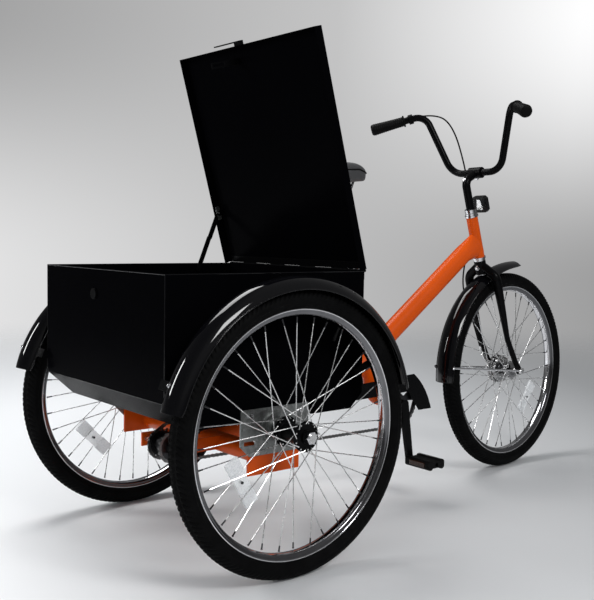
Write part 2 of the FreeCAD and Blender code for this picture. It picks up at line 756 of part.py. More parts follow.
def spokes(name, flanges):
    """Spokes laced tangentially from two flanges, given as (spoke circle, height), to the rim."""
    per_flange = int(S.spoke_count.value) // 2
    step = 360.0 / per_flange
    swing = step * S.spoke_crossings.value
    rim_end = (S.rim_radius - S.rim_depth - S.fit_gap).value
    stand = (S.flange_thick / 2 + S.spoke_size / 2).value
    bars = []
    for side, (radius, height) in enumerate(flanges):
        outward = math.copysign(1, height.value)
        circle = radius.value
        for i in range(per_flange):
            angle = math.radians(step * i + step / 2 * side)
            lead = 1 if i % 2 else -1
            reach = angle + math.radians(swing) * lead
            lift = (S.spoke_lift if lead > 0 else S.spoke_nip).value
            hub_height = height.value + outward * lead * (stand + lift)
            rim_height = outward * S.nipple_offset.value
            bars.append(spoke(
                Vector(circle * math.cos(angle), circle * math.sin(angle), hub_height),
                Vector(rim_end * math.cos(reach), rim_end * math.sin(reach), rim_height),
            ))
    return shape_piece(name, Part.makeCompound(bars))


def rear_wheel(side, y):
    flange = S.hub_flange_gap / 2
    circle = S.hub_flange_radius - S.spoke_inset
    laced = [(circle, -flange), (circle, flange)]
    pieces = {"tyre": tyre, "rim": rim, "hub": rear_hub, "spokes": lambda name: spokes(name, laced)}
    for kind, make in pieces.items():
        item = make(side + kind.capitalize())
        node(put(item, rear_x, y, axle_z, ALONG_Y), "%s_%s" % (side, kind))


def front_wheel():
    laced = [
        (S.front_flange_radius - S.front_spoke_inset, -(S.front_flange_gap / 2) + S.flange_thick / 2),
        (S.drum_radius - S.front_spoke_inset, S.front_flange_gap / 2 - S.flange_thick / 2),
    ]
    pieces = {"tyre": tyre, "rim": rim, "hub": front_hub, "spokes": lambda name: spokes(name, laced)}
    for kind, make in pieces.items():
        item = make("Front" + kind.capitalize())
        node(put_steered(item, S.fork_rake, rotation=ALONG_Y), "front_%s" % kind)


def rear_axle():
    """Axle that turns with the right wheel, with its sprocket."""
    end = axle_end + S.axle_nut_height + S.flange_thick
    bar = cylinder("AxleBar", S.axle_radius, end * 2, vector(rear_x, -end, axle_z), Y_AXIS)
    wheel = sprocket("AxleSprocket", S.axle_teeth, S.axle_radius - S.overrun)
    put(wheel, rear_x, -S.drive_line, axle_z, meshed(drive_pins, axle_point, S.axle_teeth))
    node(fuse("RearAxle", [bar, wheel]), "rear_axle")


def axle_nuts():
    nuts = []
    for side in (-1, 1):
        nut = plate("AxleNut", regular(6, S.axle_nut_radius), S.axle_nut_height,
                    [(0, 0, S.axle_radius + S.run_gap)], "XY_Plane")
        nuts.append(put(nut, rear_x, side * (axle_end + S.axle_nut_height / 2), axle_z, ALONG_Y))
    node(group("AxleNuts", nuts), "axle_nuts")


# Drive
axle_end = S.track / 2 + S.hub_length / 2 + S.fit_gap
crank_point = vector(S.crank_x, 0, S.crank_height)
axle_point = vector(rear_x, 0, axle_z)


# How often a search halves its range.
HALVINGS = 80


def links_between(distance, big, small):
    """How many links a chain round two sprockets has, at a distance of their middles."""
    radius_step = pitch_radius(big).value - pitch_radius(small).value
    slope = math.asin(radius_step / distance)
    straight = 2 * math.sqrt(distance ** 2 - radius_step ** 2) / S.pitch.value
    big_share = big.value * (0.5 + slope / math.pi)
    small_share = small.value * (0.5 - slope / math.pi)
    return straight + big_share + small_share


def distance_for(links, big, small):
    """The distance of two sprockets that a chain of so many links fits."""
    low, high = pitch_radius(big).value, links.value * S.pitch.value
    for _ in range(HALVINGS):
        middle = (low + high) / 2
        low, high = (middle, high) if links_between(middle, big, small) < links.value else (low, middle)
    return (low + high) / 2


def front_chain_links():
    """The even number of links that brings the drive hub nearest to its place."""
    about = vector(rear_x - S.hub_behind, 0, axle_z - S.hub_below)
    wanted = links_between((about - crank_point).Length, S.ring_teeth, S.driver_teeth)
    return as_size(2 * round(wanted / 2))


def hub_place():
    """The drive hub sits where both chains are tight."""
    front = distance_for(front_links, S.ring_teeth, S.driver_teeth)
    rear = distance_for(S.drive_links, S.axle_teeth, S.axle_teeth)
    between = axle_point - crank_point
    along = (front ** 2 - rear ** 2 + between.Length ** 2) / (2 * between.Length)
    aside = math.sqrt(front ** 2 - along ** 2)
    direction = between.normalize()
    below = Vector(direction.z, 0, -direction.x)
    if below.z > 0:
        below = -below
    return crank_point + direction * along + below * aside


front_links = front_chain_links()
hub_point = hub_place()


def chain_course(start, start_teeth, end, end_teeth, links):
    """Each pin's place and heading on a chain round two sprockets, and the loop's corners."""
    r0, r1 = pitch_radius(start_teeth).value, pitch_radius(end_teeth).value
    between = end - start
    base = math.atan2(between.z, between.x)
    slope = math.asin((r0 - r1) / between.Length)
    straight = math.sqrt(between.Length ** 2 - (r0 - r1) ** 2) / S.pitch.value
    turns = [start_teeth.value * (0.5 + slope / math.pi), end_teeth.value * (0.5 - slope / math.pi)]
    top = base + math.pi / 2 - slope
    low = base - math.pi / 2 + slope

    def on_ring(centre, radius, angle):
        return centre + Vector(radius * math.cos(angle), 0, radius * math.sin(angle))

    corners = [(start, r0, top), (end, r1, top), (end, r1, low), (start, r0, low)]
    pins = []
    for i in range(int(links.value)):
        rest = float(i)
        if rest < straight:
            a, b = on_ring(*corners[0]), on_ring(*corners[1])
            pins.append(a + (b - a) * (rest / straight))
            continue
        rest -= straight
        if rest < turns[1]:
            pins.append(on_ring(end, r1, top - 2 * math.pi * rest / end_teeth.value))
            continue
        rest -= turns[1]
        if rest < straight:
            a, b = on_ring(*corners[2]), on_ring(*corners[3])
            pins.append(a + (b - a) * (rest / straight))
            continue
        rest -= straight
        pins.append(on_ring(start, r0, low - 2 * math.pi * rest / start_teeth.value))
    return pins, corners


def sprocket(name, teeth, bore):
    """A toothed disc about Z, with its first tooth gap towards X."""
    radius = pitch_radius(teeth)
    edge = radius + S.tooth_rise
    half = S.tooth_thick / 2
    body = turned(name, [(bore, -half), (edge, -half), (edge, half), (bore, half)])
    floor = radius - S.gap_depth
    mouth = edge + S.overrun
    floor_half = S.gap_floor / 2
    mouth_half = floor_half + (mouth - floor) * S.gap_flare
    gap = [(floor, -floor_half), (mouth, -mouth_half), (mouth, mouth_half), (floor, floor_half)]
    repeat_round(body, cut_through(body, gap, S.tooth_thick * 2, "XY_Plane"), teeth)
    return body


def meshed(pins, centre, teeth):
    """The turn that sets a sprocket's tooth gaps on the chain's rollers."""
    radius = pitch_radius(teeth).value
    nearest = min(pins, key=lambda pin: abs((pin - centre).Length - radius))
    angle = math.atan2(nearest.z - centre.z, nearest.x - centre.x)
    return ALONG_Y * Rotation(Z_AXIS, -math.degrees(angle))


def loop_wire(corners, offset):
    """A chain's loop at an offset from its pitch line."""
    spots = [c + Vector((r + offset) * math.cos(a), 0, (r + offset) * math.sin(a)) for c, r, a in corners]
    middles = []
    for first, last in ((corners[1], corners[2]), (corners[3], corners[0])):
        centre, radius, start = first
        span = (start - last[2]) % (2 * math.pi)
        angle = start - span / 2
        middles.append(centre + Vector(math.cos(angle), 0, math.sin(angle)) * (radius + offset))
    return Part.Wire([
        Part.LineSegment(spots[0], spots[1]).toShape(),
        Part.Arc(spots[1], middles[0], spots[2]).toShape(),
        Part.LineSegment(spots[2], spots[3]).toShape(),
        Part.Arc(spots[3], middles[1], spots[0]).toShape(),
    ])


def chain(label, course, line):
    """Two bands of plates with a roller at every pin between them."""
    pins, corners = course
    half = S.link_depth.value / 2
    band = Part.Face(loop_wire(corners, half)).cut(Part.Face(loop_wire(corners, -half)))
    gap = S.link_inner_gap.value / 2
    thick = S.link_plate.value
    solids = []
    for start in (gap, -gap - thick):
        side = band.copy()
        side.translate(Vector(0, start - line.value, 0))
        solids.append(side.extrude(Vector(0, thick, 0)))
    radius = S.roller_radius.value
    for pin in pins:
        corner = [pin + Vector(radius * c, -gap - line.value, radius * s) for c, s in ROLLER_CORNERS]
        face = Part.Face(Part.makePolygon(corner + corner[:1]))
        solids.append(face.extrude(Vector(0, gap * 2, 0)))
    node(shape_piece(label, Part.makeCompound(solids)), label)


ROLLER_CORNERS = [(1, 0), (0, 1), (-1, 0), (0, -1)]
front_course = chain_course(crank_point, S.ring_teeth, hub_point, S.driver_teeth, front_links)
drive_course = chain_course(hub_point, S.axle_teeth, axle_point, S.axle_teeth, S.drive_links)
front_pins = front_course[0]
drive_pins = drive_course[0]


def chainring():
    body = sprocket("ChainringBody", S.ring_teeth, S.spindle_radius + S.run_gap)
    inner = S.ring_hub_radius
    outer = pitch_radius(S.ring_teeth) - S.ring_band
    wide = S.ring_opening
    narrow = wide / 2
    opening = [(inner, -narrow), (outer, -wide), (outer, wide), (inner, narrow)]
    repeat_round(body, cut_through(body, opening, S.tooth_thick * 2, "XY_Plane"), S.ring_arm_count)
    turn = meshed(front_pins, crank_point, S.ring_teeth)
    node(put(body, S.crank_x, -S.chain_line, S.crank_height, turn), "chainring")


def crank_arms():
    """Both arms with the spindle and the pedals' axles."""
    big, small = S.crank_big_radius, S.crank_small_radius
    round_share = 1.08
    outline = [
        (-big, 0), (-small, -S.crank_length, small * round_share), (small, -S.crank_length),
        (big, 0, big * round_share),
    ]
    middle = S.crank_stand_off + S.crank_thick / 2
    pieces = [cylinder("Spindle", S.spindle_radius, middle * 2, vector(S.crank_x, -middle, S.crank_height), Y_AXIS)]
    boss_end = S.chain_line + S.tooth_thick / 2
    pieces.append(cylinder("RingBoss", S.crank_small_radius, middle - boss_end,
                           vector(S.crank_x, -middle, S.crank_height), Y_AXIS))
    for side in (-1, 1):
        half_turn = 0 if side < 0 else 180
        arm = plate("CrankArm", outline, S.crank_thick)
        turn = Rotation(Y_AXIS, half_turn - S.crank_lean.value)
        pieces.append(put(arm, S.crank_x, side * middle, S.crank_height, turn))
        start = pedal_point(side) + Vector(0, side * middle.value, 0)
        length = S.crank_thick / 2 + S.pedal_gap + S.pedal_width - S.pedal_corner
        pieces.append(cylinder("PedalAxle", S.pedal_axle_radius, length, start, Y_AXIS * side))
    node(fuse("CrankArms", pieces), "crank_arms")


def pedal_point(side):
    """A pedal's place beside the middle plane: right for -1, left for 1."""
    lean_angle = math.radians(S.crank_lean.value)
    reach = Vector(math.sin(lean_angle), 0, -math.cos(lean_angle)) * S.crank_length.value
    return crank_point - reach * side


def pedal(label, side):
    half, deep = S.pedal_length / 2, S.pedal_thick / 2
    waist, corner = S.pedal_waist / 2, S.pedal_corner
    inner = half - S.pedal_tread
    upper = [
        (half, deep - corner), (half - corner, deep), (inner + corner, deep), (inner, waist),
        (-inner, waist), (-inner - corner, deep), (corner - half, deep), (-half, deep - corner),
    ]
    lower = [(-x, -z) for x, z in upper]
    body = plate(label.title().replace("_", ""), upper + lower, S.pedal_width,
                 [(0, 0, S.pedal_axle_radius + S.run_gap)])
    outer = S.crank_stand_off + S.crank_thick + S.pedal_gap + S.pedal_width / 2
    reach_x = S.crank_length * sine(S.crank_lean)
    reach_z = S.crank_length * cosine(S.crank_lean)
    node(put(body, S.crank_x - side * reach_x, side * outer, S.crank_height + side * reach_z), label)


def drive_hub():
    """Hub axle, the driver with its sprocket, and the shell with the other one."""
    bore = S.hub_axle_radius + S.run_gap
    right = S.track_end_right
    left = S.track_end_left
    nut = S.hub_nut_radius
    half = S.track_end_thick / 2
    driver_out = S.chain_line + S.flange_thick * 2
    driver_in = S.chain_line - S.flange_thick
    shell_in = driver_in - S.fit_gap
    shell_out = shell_in - S.shell_hub_radius * 3
    axle = turned("HubAxle", [
        (0, -right - half - nut), (nut, -right - half - nut), (nut, -right - half),
        (S.hub_axle_radius, -right - half), (S.hub_axle_radius, half - right), (nut, half - right),
        (nut, -driver_out - S.fit_gap), (S.hub_axle_radius, -driver_out - S.fit_gap),
        (S.hub_axle_radius, S.fit_gap - shell_out), (nut, S.fit_gap - shell_out), (nut, left - half),
        (S.hub_axle_radius, left - half), (S.hub_axle_radius, left + half), (nut, left + half),
        (nut, left + half + nut), (0, left + half + nut),
    ])
    axle.Placement = Placement(hub_point, ALONG_Y)
    node(axle, "hub_axle")
    boss = turned("DriverBoss", [
        (bore, -driver_out), (S.driver_boss_radius, -driver_out), (S.driver_boss_radius, -driver_in),
        (bore, -driver_in),
    ])
    boss.Placement = Placement(hub_point, ALONG_Y)
    front = sprocket("DriverTeeth", S.driver_teeth, S.driver_boss_radius - S.overrun)
    place = hub_point - Y_AXIS * S.chain_line.value
    front.Placement = Placement(place, meshed(front_pins, hub_point, S.driver_teeth))
    node(fuse("DriverSprocket", [boss, front]), "driver_sprocket")
    flange = S.shell_hub_radius + S.flange_thick * 3
    body = turned("ShellBody", [
        (bore, -shell_in), (flange, -shell_in), (flange, S.flange_thick - shell_in),
        (S.shell_hub_radius, S.flange_thick - shell_in), (S.shell_hub_radius, -shell_out),
        (bore, -shell_out),
    ])
    body.Placement = Placement(hub_point, ALONG_Y)
    rear = sprocket("ShellTeeth", S.axle_teeth, S.shell_hub_radius - S.overrun)
    place = hub_point - Y_AXIS * S.drive_line.value
    rear.Placement = Placement(place, meshed(drive_pins, hub_point, S.axle_teeth))
    node(fuse("HubShell", [body, rear]), "hub_shell")


def chain_guard():
    """Plate beside the chainring and the upper chain run, held on the main tube's bend."""
    body = plate("GuardPlate", [
        (-S.guard_back, S.guard_back_low), (S.guard_inner, S.guard_inner), (S.guard_foot, -S.guard_drop),
        (S.guard_tip, -S.guard_drop, S.guard_reach), (S.guard_top_ahead, S.guard_top_rise),
        (-S.guard_back, S.guard_back_top),
    ], S.guard_thick)
    put(body, S.crank_x, -S.guard_line, S.crank_height)
    start = bend_middle - Y_AXIS * S.guard_line.value
    length = S.guard_line - S.main_radius - S.fit_gap
    post = cylinder("GuardPost", S.guard_post_radius, length, start, Y_AXIS)
    node(fuse("ChainGuard", [body, post]), "chain_guard")


# Frame and carrier
def on_head(height):
    """A place on the steering axis, as a vector."""
    return steer_tilt.multVec(vector(0, 0, height))


def main_tube_points():
    """The main tube's axis: head tube, bend under the seat, cross tube."""
    top = on_head(S.head_start + S.main_join)
    slope = math.tan(math.radians(S.main_slope.value))
    corner = vector(top.x - (top.z - S.spine_height.value) / slope, 0, S.spine_height)
    return [top, corner, vector(cross_x, 0, S.cross_height)]


cross_x = rear_x + S.cross_forward
main_points = main_tube_points()
bend_edge = rounded_wire(main_points, [S.spine_bend.value]).Edges[1]
bend_middle = bend_edge.valueAt((bend_edge.FirstParameter + bend_edge.LastParameter) / 2)


def seat_tube_points():
    """The seat tube's axis, top to bottom, and forward into the bottom bracket shell."""
    slope = math.tan(math.radians(S.seat_angle.value))
    foot_x = (S.crank_x - S.seat_tube_back).value

    def at_height(height):
        return Vector(foot_x - (height - axle_z.value) / slope, 0, height)

    return [at_height(S.seat_tube_top.value), at_height(S.crank_height.value), crank_point]


seat_points = seat_tube_points()
seat_direction = (seat_points[0] - seat_points[1]).normalize()


# Corners of the hollow inside a bent tube.
BORE_CORNERS = 6


def main_flare(wall):
    """The main tube's upper end, round where it starts and tall and narrow at the head tube."""
    back = (main_points[1] - main_points[0]).normalize()
    upright = Vector(back.z, 0, -back.x)
    facing = Rotation(upright, back.cross(upright), back, "XYZ")
    ring = doc.addObject("Part::Circle", "FlareStart")
    bind(ring, "Radius", S.main_radius - wall)
    ring.Placement = Placement(main_points[0] + back * S.flare_length.value, facing)
    oval = doc.addObject("Part::Ellipse", "FlareEnd")
    bind(oval, "MajorRadius", S.main_radius + S.flare_drop - wall)
    bind(oval, "MinorRadius", S.flare_half - wall)
    oval.Placement = Placement(main_points[0] - upright * S.flare_drop.value, facing)
    loft = doc.addObject("Part::Loft", "MainFlare")
    loft.Sections = [ring, oval]
    loft.Solid = True
    loft.Ruled = True
    return loft


def main_frame():
    """Head tube, main tube with its run under the box, seat tube and bottom bracket shell."""
    bend = [S.spine_bend.value]
    back = (main_points[1] - main_points[0]).normalize()
    course = [main_points[0] + back * S.flare_length.value] + main_points[1:]
    outer = fuse("MainOuter", [main_flare(0), sweep("MainRun", course, bend, S.main_radius)])
    bore = S.main_radius - S.main_wall
    inner = fuse("MainInner", [main_flare(S.main_wall), sweep("MainBore", course, bend, bore, BORE_CORNERS)])
    tube = cut("MainTube", outer, inner)
    low, high = on_head(S.head_start), on_head(head_top)
    reach = seat_direction * S.overrun.value
    lower_end = vector(S.crank_x, -S.shell_length / 2, S.crank_height)
    solids = [
        tube,
        rod("HeadTube", S.head_radius, low, high),
        sweep("SeatOuter", seat_points, [S.seat_bend.value], S.seat_tube_radius),
        cylinder("Shell", S.shell_radius, S.shell_length, lower_end, Y_AXIS),
    ]
    bores = [
        rod("HeadBore", S.head_bore, low, high),
        sweep("SeatBore", [seat_points[0] + reach] + seat_points[1:], [S.seat_bend.value], S.seat_tube_bore),
        cylinder("ShellBore", S.shell_bore, S.shell_length, lower_end, Y_AXIS),
        cylinder("CrossSeat", S.cross_radius, box_width, vector(cross_x, -box_side, S.cross_height), Y_AXIS),
    ]
    node(cut("MainFrame", fuse("FrameSolid", solids), fuse("FrameBores", bores)), "main_frame")


def seat_collar():
    inner = S.seat_tube_radius + S.fit_gap
    outer = inner + S.collar_thick
    ring = turned("SeatCollar", [
        (inner, -S.collar_height), (outer, -S.collar_height), (outer, 0), (inner, 0),
    ])
    ring.Placement = Placement(seat_points[0], Rotation(Z_AXIS, seat_direction))
    node(ring, "seat_collar")


def bearing_cups():
    """Headset cups and bottom bracket cups."""
    cups = []
    head = [
        (S.steerer_radius + S.run_gap, -S.cup_height), (S.head_bore - S.fit_gap, -S.cup_height),
        (S.head_bore - S.fit_gap, 0), (S.cup_radius, 0), (S.cup_radius, S.cup_height),
        (S.steerer_radius + S.run_gap, S.cup_height),
    ]
    cups.append(put_on_head(turned("UpperCup", head), as_size(0), as_size(0), head_top))
    upside_down = Rotation(X_AXIS, 180)
    cups.append(put_on_head(turned("LowerCup", head), as_size(0), as_size(0), S.head_start, upside_down))
    bore = S.spindle_radius + S.run_gap
    shell = [
        (bore, -S.cup_height), (S.shell_bore - S.fit_gap, -S.cup_height), (S.shell_bore - S.fit_gap, 0),
        (S.shell_radius, 0), (S.shell_radius, S.flange_thick), (bore, S.flange_thick),
    ]
    for side in (-1, 1):
        cup = turned("ShellCup", shell)
        turn = Rotation(X_AXIS, -90 * side)
        cups.append(put(cup, S.crank_x, side * S.shell_length / 2, S.crank_height, turn))
    node(group("BearingCups", cups), "bearing_cups")


def track_end(y):
    """Plate behind the cross tube with a slot for the drive hub's axle."""
    back = Size(hub_point.x, "%.6f" % hub_point.x)
    height = Size(hub_point.z, "%.6f" % hub_point.z)
    half = S.track_end_depth / 2
    tail = back - S.track_end_tail
    body = plate("TrackEnd", rectangle(tail, height - half, cross_x, height + half), S.track_end_thick)
    slot = S.hub_axle_radius + S.run_gap
    front = back + S.track_end_tail
    cut_through(body, rectangle(back - slot * 2, height - slot, front, height + slot), S.track_end_thick * 2)
    return put(body, 0, y, 0)


def rear_carrier():
    """Cross tube with its end plates and the track ends for the drive hub."""
    inside = box_side - S.end_plate_thick
    tube = cylinder("CrossTube", S.cross_radius, inside * 2, vector(cross_x, -inside, S.cross_height), Y_AXIS)
    hollow = cylinder("CrossHollow", S.cross_radius - S.cross_wall, inside * 2,
                      vector(cross_x, -inside, S.cross_height), Y_AXIS)
    pieces = [tube, track_end(-S.track_end_right), track_end(S.track_end_left)]
    for side in (-1, 1):
        half = S.end_plate_length / 2
        end = plate("EndPlate", rectangle(-half, S.end_plate_bottom, half, S.end_plate_top), S.end_plate_thick)
        pieces.append(put(end, rear_x, side * (box_side - S.end_plate_thick / 2), 0))
    node(cut("RearCarrier", fuse("CarrierSolid", pieces), hollow), "rear_carrier")


def bearing_hangers():
    """Slotted plates that hang the axle's bearings on the box and the carrier."""
    half = S.hanger_length / 2
    corner = S.hanger_corner
    low, high = S.hanger_bottom - axle_z, S.hanger_top - axle_z
    outline = [
        (corner - half, low), (half - corner, low), (half, low + corner), (half, high),
        (-half, high), (-half, low + corner),
    ]
    plates = []
    for side in (-1, 1):
        body = plate("Hanger", outline, S.hanger_thick, [(0, 0, S.axle_radius + S.overrun)])
        slot_z = low + corner
        for way in (-1, 1):
            middle = way * (half - corner)
            reach = S.slot_length / 2
            cut_through(body, rectangle(middle - reach, slot_z, middle + reach, slot_z + S.slot_width),
                        S.hanger_thick * 2)
        plates.append(put(body, rear_x, side * hanger_side, axle_z))
    node(group("BearingHangers", plates), "bearing_hangers")


def axle_bearings():
    """Flanged housings that carry the rear axle outside the hangers."""
    bore = S.axle_radius + S.run_gap
    flange = S.hanger_thick + S.flange_thick
    housings = []
    for side in (-1, 1):
        body = turned("AxleBearing", [
            (bore, 0), (S.bearing_flange_radius, 0), (S.bearing_flange_radius, flange),
            (S.bearing_radius, flange), (S.bearing_radius, S.bearing_depth), (bore, S.bearing_depth),
        ])
        face = box_side + S.hanger_thick
        housings.append(put(body, rear_x, side * face, axle_z, Rotation(X_AXIS, -90 * side)))
    node(group("AxleBearings", housings), "axle_bearings")


def carrier_bolts():
    """Bolt heads on the hangers: two rows a side."""
    heads = []
    far = S.hanger_length / 2 - S.hanger_corner
    near = S.bearing_flange_radius + S.bolt_head_radius * 2
    rows = [(far, S.hanger_top - S.bolt_head_radius * 2), (near, S.end_plate_top - S.bolt_head_radius * 2)]
    for side in (-1, 1):
        for reach, height in rows:
            for way in (-1, 1):
                head = plate("BoltHead", regular(6, S.bolt_head_radius), S.bolt_head_height, plane="XY_Plane")
                face = box_side + S.hanger_thick + S.bolt_head_height / 2
                heads.append(put(head, rear_x + way * reach, side * face, height, ALONG_Y))
    node(group("CarrierBolts", heads), "carrier_bolts")


# Saddle
post_top = seat_points[0] + seat_direction * ((S.post_top.value - seat_points[0].z) / seat_direction.z)


def seat_post():
    start = seat_points[0] - seat_direction * S.post_insert.value
    bar = rod("PostBar", S.post_radius, start, post_top + seat_direction * S.post_radius.value)
    level = block("PostLevel", S.clamp_block * 2, S.clamp_block * 2, S.clamp_block)
    level.Placement = Placement(post_top + Z_AXIS * (S.clamp_block / 2).value, Rotation())
    node(cut("SeatPost", bar, level), "seat_post")


# Saddle sections: share of the length from the nose, of the width, of the skirt's depth.
SADDLE_SHARES = [
    (0.0, 0.12, 0.45), (0.06, 0.23, 0.62), (0.35, 0.34, 0.80), (0.62, 0.62, 0.94), (0.84, 0.97, 1.0),
    (1.0, 0.80, 0.78),
]
HOLLOW_SHARES = [
    (0.12, 0.25, 0.66), (0.35, 0.34, 0.80), (0.62, 0.62, 0.94), (0.84, 0.97, 1.0), (0.95, 0.84, 0.85),
]


def saddle_height(along_share):
    """Height of the saddle's middle line: lowest behind the nose, highest at the back."""
    dip_share = math.cos(math.pi * (along_share - 0.5))
    return S.saddle_top.value - S.saddle_rise.value * (dip_share + 1 - along_share)


def saddle_section(shares, narrower=0.0, lower=0.0, deeper=0.0):
    """One crowned section of the saddle, across its length; of the hollow under it if drawn in."""
    along_share, width_share, skirt_share = shares
    x = post_top.x + S.saddle_ahead.value - along_share * S.saddle_length.value
    half = S.saddle_width.value / 2 * width_share - narrower
    top = saddle_height(along_share) - lower
    low = saddle_height(along_share) - S.saddle_skirt.value * skirt_share - deeper
    skirt = top - low
    drawn_in_share, shoulder_share, crown_share = 0.86, 0.9, 0.16
    foot = Vector(x, half * drawn_in_share, low)
    side = Vector(x, half, low + skirt * (1 - 2 * crown_share))
    shoulder = Vector(x, half * shoulder_share, top - skirt * crown_share)
    flank_share, flank_drop_share = 0.55, 0.3
    flank = Vector(x, half * flank_share, top - skirt * crown_share * flank_drop_share)
    crown = Vector(x, 0, top)
    left = [foot, side, shoulder, flank]
    right = [Vector(point.x, -point.y, point.z) for point in left[::-1]]
    corners = left + [crown] + right
    return Part.makePolygon(corners + corners[:1])


def lofted(name, wires):
    loft = doc.addObject("Part::Loft", name)
    loft.Sections = [shape_piece(name + "Section", wire) for wire in wires]
    loft.Solid = True
    loft.Ruled = True
    return loft


def saddle_cover():
    """Crowned cushion with drawn-in sides, hollow underneath for the rails."""
    outside = lofted("SaddleOutside", [saddle_section(shares) for shares in SADDLE_SHARES])
    drawn = S.saddle_wall.value, S.saddle_pad.value, S.overrun.value
    inside = lofted("SaddleInside", [saddle_section(shares, *drawn) for shares in HOLLOW_SHARES])
    node(cut("SaddleCover", outside, inside), "saddle_cover")


def saddle_rails():
    """Two rails under the saddle and the clamp that holds them on the post."""
    low = post_top.z + S.clamp_block.value / 4
    nose = post_top.x + S.saddle_ahead.value
    front_share, back_share = 0.20, 0.84
    clamp_shares = (0.28, 0.66)
    below = (S.saddle_pad + S.rail_drop).value
    ends = [Vector(nose - share * S.saddle_length.value, 0, saddle_height(share) - below)
            for share in (front_share, back_share)]
    level = [Vector(nose - share * S.saddle_length.value, 0, low) for share in clamp_shares]
    pieces = []
    for side in (-1, 1):
        aside = Y_AXIS * side * S.rail_half.value
        points = [point + aside for point in (ends[0], level[0], level[1], ends[1])]
        pieces.append(sweep("SaddleRail", points, [S.clamp_block.value / 2] * 2, S.rail_radius))
    clamp = block("SaddleClamp", S.clamp_block, S.rail_half * 2, S.clamp_block / 2)
    clamp.Placement = Placement(post_top + Z_AXIS * (S.clamp_block / 4).value, Rotation())
    pieces.append(clamp)
    node(fuse("SaddleRails", pieces), "saddle_rails")


# Box and lid
hinge_x = box_front_x + S.knuckle_radius + S.knuckle_gap
LID_TURN = Rotation(Y_AXIS, S.lid_open.value)

# Lid stay: two arms side by side, the upper one on the lid, the lower one on the box's wall
stay_line = box_side - S.box_wall - S.stay_inset
stay_wall = vector(hinge_x - S.stay_wall_x, 0, S.box_top - S.stay_wall_drop)
stay_lid = vector(hinge_x, 0, S.box_top) + LID_TURN.multVec(vector(-S.stay_lid_along, 0, -S.stay_lid_drop))
stay_course = stay_lid - stay_wall
stay_upper = Size(stay_course.Length - S.stay_lower.value, "%.6f" % (stay_course.Length - S.stay_lower.value))
stay_angle = math.degrees(math.atan2(stay_course.z, stay_course.x))


def slope_at(height, knee, slope):
    """How far a sloping wall has come in at a height."""
    return slope * (knee - height) / (knee - S.box_bottom)


def cargo_box():
    """Open sheet box with a raised floor, its walls running down past the floor as skirts."""
    front, back = box_front_x, box_back_x
    slant = S.box_wall * S.sheet_slant_share
    low = S.box_bottom
    outer = [
        (back, S.box_top), (back, S.box_rear_knee), (back + S.box_rear_slope, low),
        (front - S.box_front_slope, low), (front, S.box_front_knee), (front, S.box_top),
    ]
    body = plate("BoxSolid", outer, box_width)
    inside = box_width - S.box_wall * 2
    floor = S.box_floor
    under = floor - S.box_wall
    rim = S.box_top + S.overrun
    cut_through(body, [
        (back + S.box_wall, rim), (back + S.box_wall, S.box_rear_knee + S.box_wall / 2),
        (back + slope_at(floor, S.box_rear_knee, S.box_rear_slope) + slant, floor),
        (front - slope_at(floor, S.box_front_knee, S.box_front_slope) - slant, floor),
        (front - S.box_wall, S.box_front_knee + S.box_wall / 2), (front - S.box_wall, rim),
    ], inside)
    cut_through(body, [
        (back + slope_at(under, S.box_rear_knee, S.box_rear_slope) + slant, under),
        (back + slope_at(low - S.overrun, S.box_rear_knee, S.box_rear_slope) + slant, low - S.overrun),
        (front - slope_at(low - S.overrun, S.box_front_knee, S.box_front_slope) - slant, low - S.overrun),
        (front - slope_at(under, S.box_front_knee, S.box_front_slope) - slant, under),
    ], inside)
    bore = cylinder("LockBore", S.lock_radius + S.run_gap, S.box_wall * 4,
                    vector(back - S.box_wall * 2, S.lock_side, lock_height), X_AXIS)
    stud_start = stay_line + S.fit_gap / 2
    stud = cylinder("StayStud", S.pivot_radius, box_side - S.box_wall / 2 - stud_start,
                    stay_wall + Y_AXIS * stud_start.value, Y_AXIS)
    node(cut("CargoBox", fuse("BoxWithStud", [body, stud]), bore), "cargo_box")


def put_lid(item, x=Size(0, "0"), y=Size(0, "0"), z=Size(0, "0"), rotation=None):
    """Places a piece of the lid, given from the hinge's axis with the lid shut."""
    turn = S.lid_open
    return put(
        item,
        hinge_x + x * cosine(turn) + z * sine(turn),
        y,
        S.box_top + z * cosine(turn) - x * sine(turn),
        LID_TURN * (rotation or Rotation()),
    )


def hinge_leaf(name, spots, leaf, tab, bore):
    """A hinge leaf with its knuckles about the Y axis, each on a short tab."""
    count = int(S.hinge_knuckles.value)
    step = box_width / count
    width = step - S.knuckle_gap * 2
    pieces = [plate(name + "Leaf", leaf, box_width - S.knuckle_gap * 2)]
    tools = []
    for i in spots:
        y = step * (i + 0.5) - box_width / 2
        start = vector(0, y - width / 2, 0)
        pieces.append(cylinder(name + "Knuckle", S.knuckle_radius, width, start, Y_AXIS))
        pieces.append(put(plate(name + "Tab", tab, width), 0, y, 0))
        tools.append(cylinder(name + "Bore", bore, width, start, Y_AXIS))
    solid = fuse(name + "Solid", pieces)
    return solid, tools


